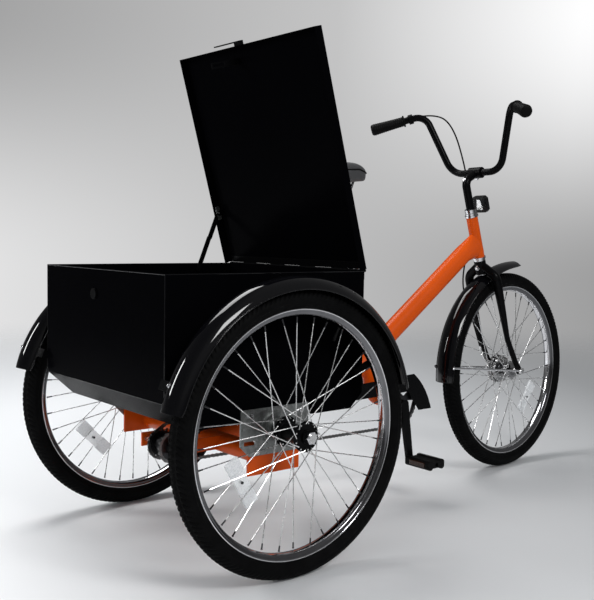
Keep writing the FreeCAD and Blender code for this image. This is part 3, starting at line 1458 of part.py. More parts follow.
def hinge():
    """Piano hinge along the box's front edge: fixed leaf with the pin, lid leaf around it."""
    count = int(S.hinge_knuckles.value)
    thick = S.hinge_leaf_thick
    clear = S.knuckle_radius + S.knuckle_gap
    wall = -clear
    fixed, _ = hinge_leaf("FixedHinge", range(0, count, 2),
                          rectangle(wall, -clear - S.hinge_leaf, wall + thick, -clear),
                          rectangle(wall, -clear - thick, wall + thick, 0), S.hinge_pin_radius)
    pin = cylinder("HingePin", S.hinge_pin_radius, box_width - S.knuckle_gap * 2,
                   vector(0, S.knuckle_gap - box_side, 0), Y_AXIS)
    leaf = fuse("FixedLeaf", [fixed, pin])
    node(put(leaf, hinge_x, 0, S.box_top), "box_hinge_leaf")
    top = S.lid_gap
    moving, tools = hinge_leaf("LidHinge", range(1, count, 2),
                               rectangle(-clear - S.hinge_leaf, top - thick, -clear, top),
                               rectangle(-clear - thick, top - thick, 0, top),
                               S.hinge_pin_radius + S.run_gap)
    node(put_lid(cut("LidLeaf", moving, fuse("LidHingeBores", tools))), "lid_hinge_leaf")


lid_end = S.box_length + S.knuckle_radius + S.knuckle_gap + S.lid_overhang


def lid_panel():
    """Sheet lid with its sides and free edge turned down, and a lug for the stay."""
    top = S.lid_gap + S.box_wall
    low = S.lid_gap - S.lid_lip
    near = S.knuckle_radius + S.knuckle_gap
    width = box_width + S.lid_side_gap * 2 + S.box_wall * 2
    body = plate("LidSheet", rectangle(-lid_end, low, -near, top), width)
    cut_through(body, rectangle(S.box_wall - lid_end, low - S.overrun, 0, S.lid_gap), width - S.box_wall * 2)
    half = S.stay_width / 2
    lug = plate("StayLug", [
        (-half - S.stay_lid_along, S.lid_gap), (-half - S.stay_lid_along, -S.stay_lid_drop),
        (-S.stay_lid_along, -S.stay_lid_drop - half), (half - S.stay_lid_along, -S.stay_lid_drop),
        (half - S.stay_lid_along, S.lid_gap),
    ], S.stay_thick)
    inside = stay_line - S.stay_thick * 2 - S.fit_gap * 3 / 2
    put(lug, 0, inside + S.stay_thick / 2, 0)
    pin = cylinder("StayLidPin", S.pivot_radius, S.stay_thick * 2 + S.fit_gap,
                   vector(-S.stay_lid_along, inside, -S.stay_lid_drop), Y_AXIS)
    node(put_lid(fuse("LidPanel", [body, lug, pin])), "lid_panel")


def stay_arm(name, length, circles):
    """A flat arm from its pivot along X, with rounded ends."""
    half = S.stay_width / 2
    round_share = 1.08
    outline = [
        (0, -half), (length, -half, half * round_share), (length, half), (0, half, half * round_share),
    ]
    return plate(name, outline, S.stay_thick, circles)


def lid_stay():
    bore = S.pivot_radius + S.run_gap
    shift = S.stay_thick / 2 + S.fit_gap / 2
    lower = stay_arm("LowerArmPlate", S.stay_lower, [(0, 0, bore)])
    place = stay_wall + Y_AXIS * (stay_line + shift).value
    lower.Placement = Placement(place, Rotation(Y_AXIS, -stay_angle))
    node(lower, "stay_lower_arm")
    upper = stay_arm("UpperArmPlate", stay_upper, [(0, 0, bore), (stay_upper, 0, bore)])
    place = stay_lid + Y_AXIS * (stay_line - shift).value
    upper.Placement = Placement(place, Rotation(Y_AXIS, 180 - stay_angle))
    node(upper, "stay_upper_arm")


def lid_fittings():
    """Strike that the lock's cam passes through, and the handle at the free edge."""
    inner = S.box_wall + S.strike_inside
    back = -(lid_end - S.lid_overhang - inner)
    drop = S.box_top - lock_height
    reach = S.cam_length
    outline = rectangle(back, -drop - reach, back + S.strike_depth, S.lid_gap)
    strike = plate("StrikePlate", outline, S.strike_thick)
    cam_x = back + S.cam_inside - S.strike_inside + S.cam_thick / 2
    half = S.strike_window / 2
    window_low = -drop - reach + S.strike_thick * 2
    cut_through(strike, rectangle(cam_x - half, window_low, cam_x + half, S.cam_width - drop), S.strike_thick * 2)
    y = S.lock_side + S.strike_side + S.strike_thick / 2
    put(strike, 0, y, 0)
    foot = plate("StrikeFoot", rectangle(back, S.lid_gap - S.strike_thick, back + S.strike_depth, S.lid_gap),
                 S.strike_foot)
    put(foot, 0, y + S.strike_foot / 2 - S.strike_thick / 2, 0)
    strike_solid = put_lid(fuse("LidStrike", [strike, foot]))
    out = -lid_end - S.handle_depth
    low = S.lid_gap - S.lid_lip / 2
    top = S.lid_gap + S.box_wall
    block_y = S.lock_side
    stub = put(plate("HandleBlock", rectangle(out, low, -lid_end, top), S.handle_block), 0, block_y, 0)
    bar = plate("HandleBar", rectangle(out, low, out + S.handle_thick, top), S.handle_length)
    put(bar, 0, block_y + S.handle_length / 2 - S.handle_block / 2, 0)
    handle = put_lid(fuse("LidHandle", [stub, bar]))
    node(group("LidFittings", [strike_solid, handle]), "lid_fittings")


def lock_cylinder():
    """Barrel through the back wall, with its face outside and a cam inside, pointing down."""
    inside = S.box_wall + S.cam_inside
    barrel = turned("LockBarrel", [
        (0, -S.lock_face_thick), (S.lock_face_radius, -S.lock_face_thick), (S.lock_face_radius, 0),
        (S.lock_radius, 0), (S.lock_radius, inside), (0, inside),
    ])
    put(barrel, box_back_x, S.lock_side, lock_height, ALONG_X)
    half = S.cam_width / 2
    cam = plate("LockCam", rectangle(-half, -S.cam_length, half, half), S.cam_thick, plane="YZ_Plane")
    put(cam, box_back_x + inside + S.cam_thick / 2, S.lock_side, lock_height)
    node(fuse("LockCylinder", [barrel, cam]), "lock_cylinder")


# Fenders
# Half of a fender's section, from its edge to the crown: share of its sag, share of its half width.
FENDER_SHARES = [(0.0, 1.0), (0.52, 0.82), (0.86, 0.48), (1.0, 0.14)]


def fender(name, start, end, radius):
    """A curved guard about Z, ending in the XZ plane."""
    edge = radius - S.fender_sag
    half = S.fender_width / 2
    outer = [(edge + S.fender_sag * tall, half * wide) for tall, wide in FENDER_SHARES]
    low, high = S.fender_thick / 2, S.fender_thick
    inner = [(edge, half - high)] + [(r - high, y - low) for r, y in outer[1:]]
    section = [(r, -y) for r, y in outer] + outer[::-1]
    return turned(name, section + inner + [(r, -y) for r, y in inner[::-1]], end - start)


def fender_half(rise):
    """Half of a fender's width a little above its edge."""
    tall_share, wide_share = FENDER_SHARES[1]
    return S.fender_width / 2 - S.fender_width / 2 * (1 - wide_share) * rise / (S.fender_sag * tall_share)


def fender_turn(end):
    return Rotation(Y_AXIS, -end.value) * ALONG_Y


def rear_fenders():
    for label, side in (("right_fender", -1), ("left_fender", 1)):
        body = fender(label.title().replace("_", ""), S.rear_fender_start, S.rear_fender_end, S.fender_radius)
        node(put(body, rear_x, side * S.track / 2, axle_z, fender_turn(S.rear_fender_end)), label)


# Degrees round the wheel where the brackets hold each rear fender.
BRACKET_ANGLES = (23, 90, 157)


def rear_fender_stays():
    """Brackets from the box's walls to the inner edges of the rear fenders."""
    radius = S.fender_radius - S.fender_sag + S.bracket_thick
    end = S.track / 2 - fender_half(S.bracket_thick) - S.fit_gap
    half = S.bracket_width / 2
    brackets = []
    for side in (-1, 1):
        for angle in BRACKET_ANGLES:
            turn = Rotation(Y_AXIS, -angle)
            bar = plate("BracketBar", rectangle(radius, -half, radius + S.bracket_thick, half), end - box_side,
                        plane="XZ_Plane")
            put(bar, rear_x, side * (end + box_side) / 2, axle_z, turn)
            low = radius + S.bracket_thick - S.bracket_foot
            foot = plate("BracketFoot", rectangle(low, -half, radius + S.bracket_thick, half), S.bracket_thick)
            put(foot, rear_x, side * (box_side + S.bracket_thick / 2), axle_z, turn)
            brackets.append(fuse("FenderBracket", [bar, foot]))
    node(group("RearFenderStays", brackets), "rear_fender_stays")


# Fork and what turns with it
crown_top = S.head_start - S.cup_height - S.race_height
crown_low = crown_top - S.crown_height
race_top = head_top + S.cup_height + S.fit_gap + S.race_height
locknut_low = race_top + S.strip_thick
steerer_top = locknut_low + S.locknut_height
bar_height = steerer_top + S.stem_rise
fork_end = S.fork_gap / 2 + S.dropout_thick / 2
# Where a blade starts to taper and where it has tapered, as shares of the way from shoulder to rake,
# and where it ends, as a share of the rake.
TAPER_SHARES = (0.2, 0.94)
BLADE_END_SHARE = 0.72


def blade(side):
    """One fork blade: from the crown over the shoulder, tapering down, and swept forward to its end."""
    start = vector(0, 0, crown_top - S.blade_radius)
    shoulder = vector(0, side * S.blade_half, crown_top - S.shoulder_drop)
    rake = vector(0, side * fork_end, S.rake_height)
    end = vector(S.fork_rake * BLADE_END_SHARE, side * fork_end, S.blade_end_radius * 3)
    wide, narrow = [shoulder + (rake - shoulder) * share for share in TAPER_SHARES]
    upper = sweep("BladeUpper", [start, shoulder, wide], [S.shoulder_bend.value], S.blade_radius)
    taper = doc.addObject("Part::Cone", "BladeTaper")
    bind(taper, "Radius1", S.blade_radius)
    bind(taper, "Radius2", S.blade_end_radius)
    bind(taper, "Height", (narrow - wide).Length)
    taper.Placement = Placement(wide, Rotation(Z_AXIS, narrow - wide))
    lower = sweep("BladeLower", [narrow, rake, end], [S.rake_bend.value / 2], S.blade_end_radius)
    return [upper, taper, lower]


def dropout(side):
    """Flat fork end with the axle's hole."""
    low = S.front_nut_radius
    top = S.blade_end_radius * 4
    back = S.fork_rake * (BLADE_END_SHARE - 1)
    half = S.blade_end_radius
    body = plate("Dropout", [
        (-low, -low), (low, -low), (low + half / 2, 0),
        (back + half, top), (back - half, top), (-low - half / 2, 0),
    ], S.dropout_thick, [(0, 0, S.front_axle_radius + S.run_gap)])
    return put(body, S.fork_rake, side * fork_end, 0)


def fork():
    """Steerer, crown, two blades and their ends, in one."""
    crown = cylinder("Crown", S.nut_radius, S.crown_height, vector(0, 0, crown_low), Z_AXIS)
    steerer = cylinder("Steerer", S.steerer_radius, steerer_top - crown_low, vector(0, 0, crown_low), Z_AXIS)
    hollow = cylinder("SteererBore", S.steerer_bore, steerer_top - crown_top, vector(0, 0, crown_top), Z_AXIS)
    pieces = [crown, steerer]
    for side in (-1, 1):
        pieces += blade(side) + [dropout(side)]
    node(put_steered(cut("Fork", fuse("ForkSolid", pieces), hollow)), "fork")


def headset_nuts():
    """Crown race, top race and locknut on the steerer."""
    bore = S.steerer_radius + S.run_gap
    rings = []
    spans = [
        (crown_top, crown_top + S.race_height - S.fit_gap), (race_top - S.race_height, race_top),
        (locknut_low, steerer_top),
    ]
    for low, high in spans:
        rings.append(turned("HeadsetRing", [(bore, low), (S.nut_radius, low), (S.nut_radius, high), (bore, high)]))
    node(put_steered(group("HeadsetNuts", rings)), "headset_nuts")


def stem():
    """Stem: quill in the steerer, bent forward to the clamp round the bar."""
    quill_low = head_top - S.stem_rise / 2
    quill = cylinder("Quill", S.steerer_bore - S.run_gap, steerer_top - quill_low, vector(0, 0, quill_low), Z_AXIS)
    bend = S.stem_radius * 2
    drop = S.clamp_radius / 2
    neck = sweep("StemNeck", [
        vector(0, 0, steerer_top), vector(0, 0, bar_height - drop), vector(S.bar_reach, 0, bar_height),
    ], [bend.value], S.stem_radius)
    clamp = cylinder("StemClamp", S.clamp_radius, S.clamp_length,
                     vector(S.bar_reach, -S.clamp_length / 2, bar_height), Y_AXIS)
    hole = cylinder("StemClampBore", S.bar_radius + S.run_gap, S.clamp_length,
                    vector(S.bar_reach, -S.clamp_length / 2, bar_height), Y_AXIS)
    node(put_steered(cut("Stem", fuse("StemSolid", [quill, neck, clamp]), hole)), "stem")


def bar_points(side):
    """The handlebar's axis from its middle to one end: low bend, top bend, end."""
    return [
        vector(S.bar_reach, side * S.bar_low_half, bar_height),
        vector(S.bar_reach + S.bar_top_reach, side * S.bar_top_half, bar_height + S.bar_rise),
        vector(S.bar_reach - S.bar_end_back, side * S.bar_end_half, bar_height + S.bar_rise - S.bar_end_drop),
    ]


def handlebar():
    points = bar_points(1)[::-1] + bar_points(-1)
    bends = [S.bar_top_bend.value, S.bar_low_bend.value, S.bar_low_bend.value, S.bar_top_bend.value]
    outer = sweep("BarOuter", points, bends, S.bar_radius)
    inner = sweep("BarInner", points, bends, S.bar_radius - S.bar_wall, BORE_CORNERS)
    node(put_steered(cut("Handlebar", outer, inner)), "handlebar")


def bar_end(side):
    """A bar end and the direction towards it along the grip."""
    points = bar_points(side)
    return points[2], (points[2] - points[1]).normalize()


def grips():
    bore = S.bar_radius + S.run_gap
    swell = S.grip_radius + S.grip_swell
    thick = S.grip_swell
    length = S.grip_length
    outline = [
        (bore, 0), (S.grip_radius - thick, 0), (S.grip_radius, length / 2), (swell, length - thick * 3),
        (swell, length - thick), (S.grip_radius, length), (0, length), (0, length - thick), (bore, length - thick),
    ]
    pair = []
    for side in (-1, 1):
        end, direction = bar_end(side)
        grip = turned("Grip", outline)
        grip.Placement = Placement(end - direction * (length - thick).value, Rotation(Z_AXIS, direction))
        pair.append(grip)
    node(put_steered(group("Grips", pair)), "grips")


def lever_frame():
    """Place of the brake lever's clamp: X along the grip, Y away from it, Z along the pin."""
    end, direction = bar_end(1)
    ahead = Vector(direction.y, -direction.x, 0).normalize()
    centre = end - direction * S.lever_from_end.value
    rotation = Rotation(direction, ahead, direction.cross(ahead), "XYZ")
    return centre, direction, ahead, rotation


def brake_lever():
    """Bracket clamped on the left bar and the lever that swings on its pin."""
    centre, direction, ahead, rotation = lever_frame()
    pivot = centre + ahead * S.lever_stand_off.value
    clamp_half = S.lever_clamp_length / 2
    start = centre - direction * clamp_half.value
    ring = cylinder("LeverRing", S.lever_clamp_radius, S.lever_clamp_length, start, direction)
    bore = cylinder("LeverRingBore", S.bar_radius + S.run_gap, S.lever_clamp_length, start, direction)
    gap = S.lever_thick / 2 + S.fit_gap
    lugs = []
    for side in (-1, 1):
        near = S.bar_radius
        far = S.lever_stand_off + S.lever_pin_radius * 2
        lug = plate("LeverLug", rectangle(-clamp_half, near, clamp_half, far), S.lever_lug, plane="XY_Plane")
        shift = rotation.multVec(Z_AXIS) * (side * (gap + S.lever_lug / 2)).value
        lug.Placement = Placement(centre + shift, rotation)
        lugs.append(lug)
    pin_axis = rotation.multVec(Z_AXIS)
    pin = cylinder("LeverPin", S.lever_pin_radius, (gap + S.lever_lug) * 2,
                   pivot - pin_axis * (gap + S.lever_lug).value, pin_axis)
    node(put_steered(cut("LeverBracket", fuse("LeverSolid", [ring, pin] + lugs), bore)), "lever_bracket")
    half = S.lever_thick / 2
    tip = S.lever_length
    blade_outline = [
        (-half, -half), (half * 2, -half), (tip, -half / 2), (tip, half), (half * 2, half), (-half, half),
    ]
    lever = plate("LeverBlade", blade_outline, S.lever_thick,
                  [(0, 0, S.lever_pin_radius + S.run_gap)], "XY_Plane")
    lever.Placement = steering * Placement(pivot, rotation * Rotation(Z_AXIS, S.lever_flare.value))
    node(lever, "brake_lever")


# Front axle and brake
drum_mouth = S.front_flange_gap / 2 + S.flange_thick * 2
plate_in = drum_mouth + S.fit_gap
plate_out = plate_in + S.brake_plate_thick
fork_outside = S.fork_gap / 2 + S.dropout_thick


def front_axle():
    """Axle with its spacers and nuts, clamped in the fork's ends."""
    core, wide = S.front_axle_radius, S.front_nut_radius
    hub_right = S.front_flange_gap / 2 + S.flange_thick + S.fit_gap
    inside = S.fork_gap / 2
    nut = fork_outside + S.bracket_thick
    end = nut + S.front_nut_height
    body = turned("FrontAxle", [
        (0, -end), (wide, -end), (wide, -nut), (core, -nut), (core, -inside), (wide, -inside),
        (wide, -hub_right), (core, -hub_right), (core, plate_out), (wide, plate_out), (wide, inside),
        (core, inside), (core, nut), (wide, nut), (wide, end), (0, end),
    ])
    node(put_steered(body, S.fork_rake, rotation=ALONG_Y), "front_axle")


def brake_plate():
    """Plate that closes the brake drum, with the bore for the brake arm's shaft."""
    body = turned("PlateDisc", [
        (S.front_axle_radius + S.run_gap, plate_in), (S.drum_radius, plate_in), (S.drum_radius, plate_out),
        (S.front_axle_radius + S.run_gap, plate_out),
    ])
    put(body, 0, 0, 0, ALONG_Y)
    bore = cylinder("ArmBore", S.arm_pin_radius + S.run_gap, S.brake_plate_thick * 2,
                    vector(-S.arm_offset, plate_in - S.overrun, S.arm_offset), Y_AXIS)
    node(put_steered(cut("BrakePlate", body, bore), S.fork_rake), "brake_plate")


def brake_arm():
    """Arm on the brake's shaft, outside the plate, pulled by the cable."""
    radius = S.arm_radius
    round_share = 1.08
    outline = [
        (-radius, 0, radius * -round_share), (radius, 0), (radius / 2, S.arm_length), (-radius / 2, S.arm_length),
    ]
    arm = plate("ArmPlate", outline, S.arm_thick)
    put(arm, 0, plate_out + S.fit_gap + S.arm_thick / 2, 0, Rotation(Y_AXIS, -S.arm_turn.value))
    shaft = cylinder("ArmShaft", S.arm_pin_radius, S.brake_plate_thick + S.fit_gap + S.arm_thick / 2,
                     vector(0, plate_in, 0), Y_AXIS)
    arm_solid = fuse("BrakeArm", [arm, shaft])
    node(put_steered(arm_solid, S.fork_rake - S.arm_offset, z=S.arm_offset), "brake_arm")


def front_fender():
    body = fender("FrontFender", S.front_fender_start, S.front_fender_end, S.front_fender_radius)
    node(put_steered(body, S.fork_rake, rotation=fender_turn(S.front_fender_end)), "front_fender")


# Degrees round the wheel where the stays hold the front fender.
STAY_ANGLE = 156


def front_fender_stays():
    """A stay on each side from the axle to the fender, and the tab under the crown."""
    radius = S.front_fender_radius - S.fender_sag + S.fender_stay_radius
    aside = S.fender_width / 2 + S.fender_stay_radius / 2 + S.fit_gap
    angle = math.radians(STAY_ANGLE)
    pieces = []
    for side in (-1, 1):
        eye_y = side * (fork_outside + S.bracket_thick / 2)
        eye = turned("StayEye", [
            (S.front_axle_radius + S.run_gap, -S.bracket_thick / 2), (S.front_nut_radius, -S.bracket_thick / 2),
            (S.front_nut_radius, S.bracket_thick / 2), (S.front_axle_radius + S.run_gap, S.bracket_thick / 2),
        ])
        put(eye, 0, eye_y, 0, ALONG_Y)
        eye_point = vector(0, eye_y, 0)
        along = vector(math.cos(angle), 0, math.sin(angle))
        start = eye_point + along * (S.front_axle_radius + S.fender_stay_radius / 2).value
        bend = eye_point + along * S.fork_rake.value
        reach = vector(radius * math.cos(angle), side * aside, radius * math.sin(angle))
        bar = sweep("StayBar", [start, bend, reach], [S.fork_rake.value], S.fender_stay_radius / 2)
        pieces.append(fuse("FrontStay", [eye, bar]))
    top = root(S.front_fender_radius * S.front_fender_radius - S.fork_rake * S.fork_rake) + S.fit_gap * 2
    tab = block("FenderTab", S.bracket_width / 2, S.bracket_width, crown_low - top)
    pieces.append(put(tab, -S.fork_rake, 0, (crown_low + top) / 2))
    node(put_steered(group("FrontFenderStays", pieces), S.fork_rake), "front_fender_stays")


def front_reflector():
    half, tall = S.reflector_width / 2, S.reflector_height
    corner = S.reflector_corner
    low = race_top - S.reflector_low
    top = low + tall
    body = plate("Reflector", [
        (corner - half, low), (half - corner, low), (half, low + corner), (half, top - corner),
        (half - corner, top), (corner - half, top), (-half, top - corner), (-half, low + corner),
    ], S.reflector_depth, plane="YZ_Plane")
    node(put_steered(body, S.reflector_reach + S.reflector_depth / 2), "front_reflector")


def reflector_bracket():
    """Strip from the headset to the reflector's back, bent up."""
    face = S.reflector_reach
    top = race_top + S.reflector_height - S.reflector_low * 2
    high = race_top + S.strip_thick
    strip = plate("BracketStrip", [
        (0, race_top), (face, race_top), (face, top), (face - S.strip_thick, top), (face - S.strip_thick, high),
        (0, high),
    ], S.bracket_strip)
    ring = cylinder("BracketRing", S.nut_radius, S.strip_thick, vector(0, 0, race_top), Z_AXIS)
    hole = cylinder("BracketHole", S.steerer_radius + S.run_gap, S.strip_thick, vector(0, 0, race_top), Z_AXIS)
    node(put_steered(cut("ReflectorBracket", fuse("BracketSolid", [strip, ring]), hole)), "reflector_bracket")


# Brake cable below the lever, down to the brake arm: ahead of the steering axis, left of
# it, and up it, each as a share of the bar's height.
CABLE_SHARES = [
    (0.125, 0.108, 1.25), (0.122, 0.074, 1.0), (0.097, 0.073, 0.823), (0.070, 0.070, 0.688),
    (0.012, 0.106, 0.563), (-0.031, 0.108, 0.454), (-0.038, 0.083, 0.366), (-0.0313, 0.0647, 0.137),
]
CABLE_CORNERS = 8


def brake_cable():
    """Cable as straight runs and arcs, each arc as wide as its shorter run allows."""
    height = (steerer_top + S.stem_rise).value
    centre, direction, ahead, _ = lever_frame()
    beside = ahead * (S.bar_radius + S.cable_radius + S.fit_gap).value
    start = centre + beside - direction * (S.lever_clamp_length / 2 + S.fit_gap).value
    points = [start, start - direction * S.cable_lead.value]
    points += [Vector(a, b, c) * height for a, b, c in CABLE_SHARES]
    radii = []
    arc_share = 0.46
    for before, corner, after in zip(points, points[1:], points[2:]):
        turn = math.pi - (before - corner).getAngle(after - corner)
        run = min((before - corner).Length, (after - corner).Length)
        radii.append(run * arc_share / math.tan(turn / 2))
    node(put_steered(sweep("BrakeCable", points, radii, S.cable_radius, CABLE_CORNERS)), "brake_cable")


def build():
    rear_wheel("right", -S.track / 2)
    rear_wheel("left", S.track / 2)
    front_wheel()
    rear_axle()
    axle_nuts()
    chainring()
    crank_arms()
    pedal("pedal_right", -1)
    pedal("pedal_left", 1)
    drive_hub()
    chain("front_chain", front_course, S.chain_line)
    chain("drive_chain", drive_course, S.drive_line)
    chain_guard()
    main_frame()
    seat_collar()
    bearing_cups()
    rear_carrier()
    bearing_hangers()
    axle_bearings()
    carrier_bolts()
    seat_post()
    saddle_cover()
    saddle_rails()
    cargo_box()
    hinge()
    lid_panel()
    lid_stay()
    lid_fittings()
    lock_cylinder()
    rear_fenders()
    rear_fender_stays()
    fork()
    headset_nuts()
    stem()
    handlebar()
    grips()
    brake_lever()
    front_axle()
    brake_plate()
    brake_arm()
    front_fender()
    front_fender_stays()
    front_reflector()
    reflector_bracket()
    brake_cable()
    doc.recompute()


def write():
    """Checks every sub-part and writes it to its file."""
    for item in doc.Objects:
        if "Invalid" in item.State or "Error" in item.State:
            raise RuntimeError("%s could not be made: %s" % (item.Label, item.State))
    os.makedirs("parts", exist_ok=True)
    for item in nodes:
        shape = item.Shape
        if shape.isNull() or not shape.isValid():
            raise RuntimeError("%s is not a sound solid" % item.Label)
        shape.exportStep(os.path.join("parts", item.Label + ".step"))


build()
write()
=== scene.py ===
import json
import math
import bpy
import bmesh
from mathutils import Matrix, Vector


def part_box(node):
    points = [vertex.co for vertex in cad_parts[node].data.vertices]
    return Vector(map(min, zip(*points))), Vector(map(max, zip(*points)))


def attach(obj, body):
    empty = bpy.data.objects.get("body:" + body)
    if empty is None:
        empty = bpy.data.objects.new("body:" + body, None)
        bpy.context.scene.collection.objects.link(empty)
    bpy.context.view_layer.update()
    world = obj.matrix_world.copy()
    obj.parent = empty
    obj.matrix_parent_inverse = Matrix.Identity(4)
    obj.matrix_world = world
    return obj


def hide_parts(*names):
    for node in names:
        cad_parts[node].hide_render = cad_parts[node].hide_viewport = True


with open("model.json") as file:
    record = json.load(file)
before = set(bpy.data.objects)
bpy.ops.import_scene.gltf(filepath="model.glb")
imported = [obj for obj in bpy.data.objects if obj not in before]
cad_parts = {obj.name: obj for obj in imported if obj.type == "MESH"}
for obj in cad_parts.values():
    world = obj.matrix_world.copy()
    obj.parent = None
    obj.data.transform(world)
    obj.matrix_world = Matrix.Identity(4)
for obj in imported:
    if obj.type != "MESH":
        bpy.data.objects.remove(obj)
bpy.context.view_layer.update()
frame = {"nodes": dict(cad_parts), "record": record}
record = frame["record"]
nodes = frame["nodes"]
scene = bpy.context.scene
scene.view_settings.view_transform = "Standard"

# The object's own directions: X ahead, Y to the rider's left, Z up.
AHEAD, LEFTWARD, UPWARD = Vector((1, 0, 0)), Vector((0, 1, 0)), Vector((0, 0, 1))
NEARLY_PARALLEL = 1e-6


# Places and frames.
def axes_at(point, first, second, third):
    """A frame at a point, from the directions of its X, Y and Z."""
    return Matrix.Translation(point) @ Matrix((first, second, third)).transposed().to_4x4()


def facing(point, along, upright=UPWARD):
    """A frame at a point whose Z runs along a direction."""
    along = along.normalized()
    across = upright.cross(along)
    across = across.normalized() if across.length > NEARLY_PARALLEL else along.orthogonal().normalized()
    return axes_at(point, across, along.cross(across), along)


def polar(radius, angle, height=0.0):
    """A place at a radius and an angle about Z."""
    return Vector((radius * math.cos(angle), radius * math.sin(angle), height))


def wheel_way(angle):
    """A direction in the object's upright plane, by its angle from ahead."""
    return Vector((math.cos(angle), 0, math.sin(angle)))


def round_angles(count):
    """The angles that share out a whole turn."""
    return [2 * math.pi * number / count for number in range(count)]


def corners_of(node, place_in=Matrix()):
    """All corners of a node, in a frame."""
    inverse = place_in.inverted()
    return [inverse @ vertex.co for vertex in nodes[node].data.vertices]


def box_of(spots):
    """The lowest and the highest corner of the box round some places."""
    return [Vector([pick(spot[axis] for spot in spots) for axis in range(3)]) for pick in (min, max)]


def top_of(spots, band):
    """Those places that lie within a band under the highest."""
    highest = max(spot.z for spot in spots)
    return [spot for spot in spots if spot.z > highest - band]


def middle_of(spots):
    return sum(spots, Vector()) / len(spots)


# The camera, worked out from the photograph's wheel rings and box edges.
CAMERA_PLACE = Vector((-1.912353, -1.931156, 0.7812375))
CAMERA_YAW = math.radians(50.43464)
CAMERA_PITCH = math.radians(-4.16405)
CAMERA_ROLL = math.radians(0.98471)
CAMERA_LENS = 54.596
CAMERA_SENSOR = 36.0


def make_camera():
    level = math.cos(CAMERA_PITCH)
    ahead = Vector((math.cos(CAMERA_YAW) * level, math.sin(CAMERA_YAW) * level, math.sin(CAMERA_PITCH)))
    side = ahead.cross(UPWARD).normalized()
    above = side.cross(ahead)
    right = side * math.cos(CAMERA_ROLL) + above * math.sin(CAMERA_ROLL)
    up = above * math.cos(CAMERA_ROLL) - side * math.sin(CAMERA_ROLL)
    data = bpy.data.cameras.new("camera")
    data.lens = CAMERA_LENS
    data.sensor_width = CAMERA_SENSOR
    camera = bpy.data.objects.new("camera", data)
    camera.matrix_world = axes_at(CAMERA_PLACE, right, up, -ahead)
    scene.collection.objects.link(camera)
    scene.camera = camera


# Nodes of a material, made by short calls.
def add_node(tree, kind, values=None, **settings):
    item = tree.nodes.new(kind)
    for name, value in settings.items():
        setattr(item, name, value)
    for name, value in (values or {}).items():
        item.inputs[name].default_value = value
    return item


def join(tree, start, output, end, socket):
    tree.links.new(start.outputs[output], end.inputs[socket])


def new_material(name, colour, roughness, more=None):
    material = bpy.data.materials.new(name)
    material.use_nodes = True
    tree = material.node_tree
    shader = tree.nodes["Principled BSDF"]
    values = {"Base Color": (*colour, 1.0), "Roughness": roughness, **(more or {})}
    for socket, value in values.items():
        shader.inputs[socket].default_value = value
    return material, tree, shader


def place(tree, stretch=(1, 1, 1)):
    coords = add_node(tree, "ShaderNodeTexCoord")
    mapping = add_node(tree, "ShaderNodeMapping", {"Scale": stretch})
    join(tree, coords, "Object", mapping, "Vector")
    return mapping


def noise(tree, scale, detail):
    item = add_node(tree, "ShaderNodeTexNoise", {"Scale": scale, "Detail": detail})
    join(tree, place(tree), "Vector", item, "Vector")
    return item


def cells(tree, scale, feature):
    item = add_node(tree, "ShaderNodeTexVoronoi", {"Scale": scale}, feature=feature)
    join(tree, place(tree), "Vector", item, "Vector")
    return item


def map_range(tree, source, output, limits, **settings):
    """How far a value lies between two limits, from 0 to 1 or between two more."""
    names = ("From Min", "From Max", "To Min", "To Max")
    share = add_node(tree, "ShaderNodeMapRange", dict(zip(names, limits)), **settings)
    join(tree, source, output, share, "Value")
    return share


def scaled(colour, factor):
    return tuple(min(channel * factor, 1.0) for channel in colour)


def shade_between(tree, shader, source, output, colour, tones, levels):
    """Two tones of a colour, each at a level of a pattern."""
    ramp = add_node(tree, "ShaderNodeValToRGB")
    for element, tone, level in zip(ramp.color_ramp.elements, tones, levels):
        element.position = level
        element.color = (*scaled(colour, tone), 1.0)
    join(tree, source, output, ramp, "Fac")
    join(tree, ramp, "Color", shader, "Base Color")


def bumps(tree, shader, source, output, strength, depth):
    bump = add_node(tree, "ShaderNodeBump", {"Strength": strength, "Distance": depth})
    join(tree, source, output, bump, "Height")
    join(tree, bump, "Normal", shader, "Normal")
    return bump


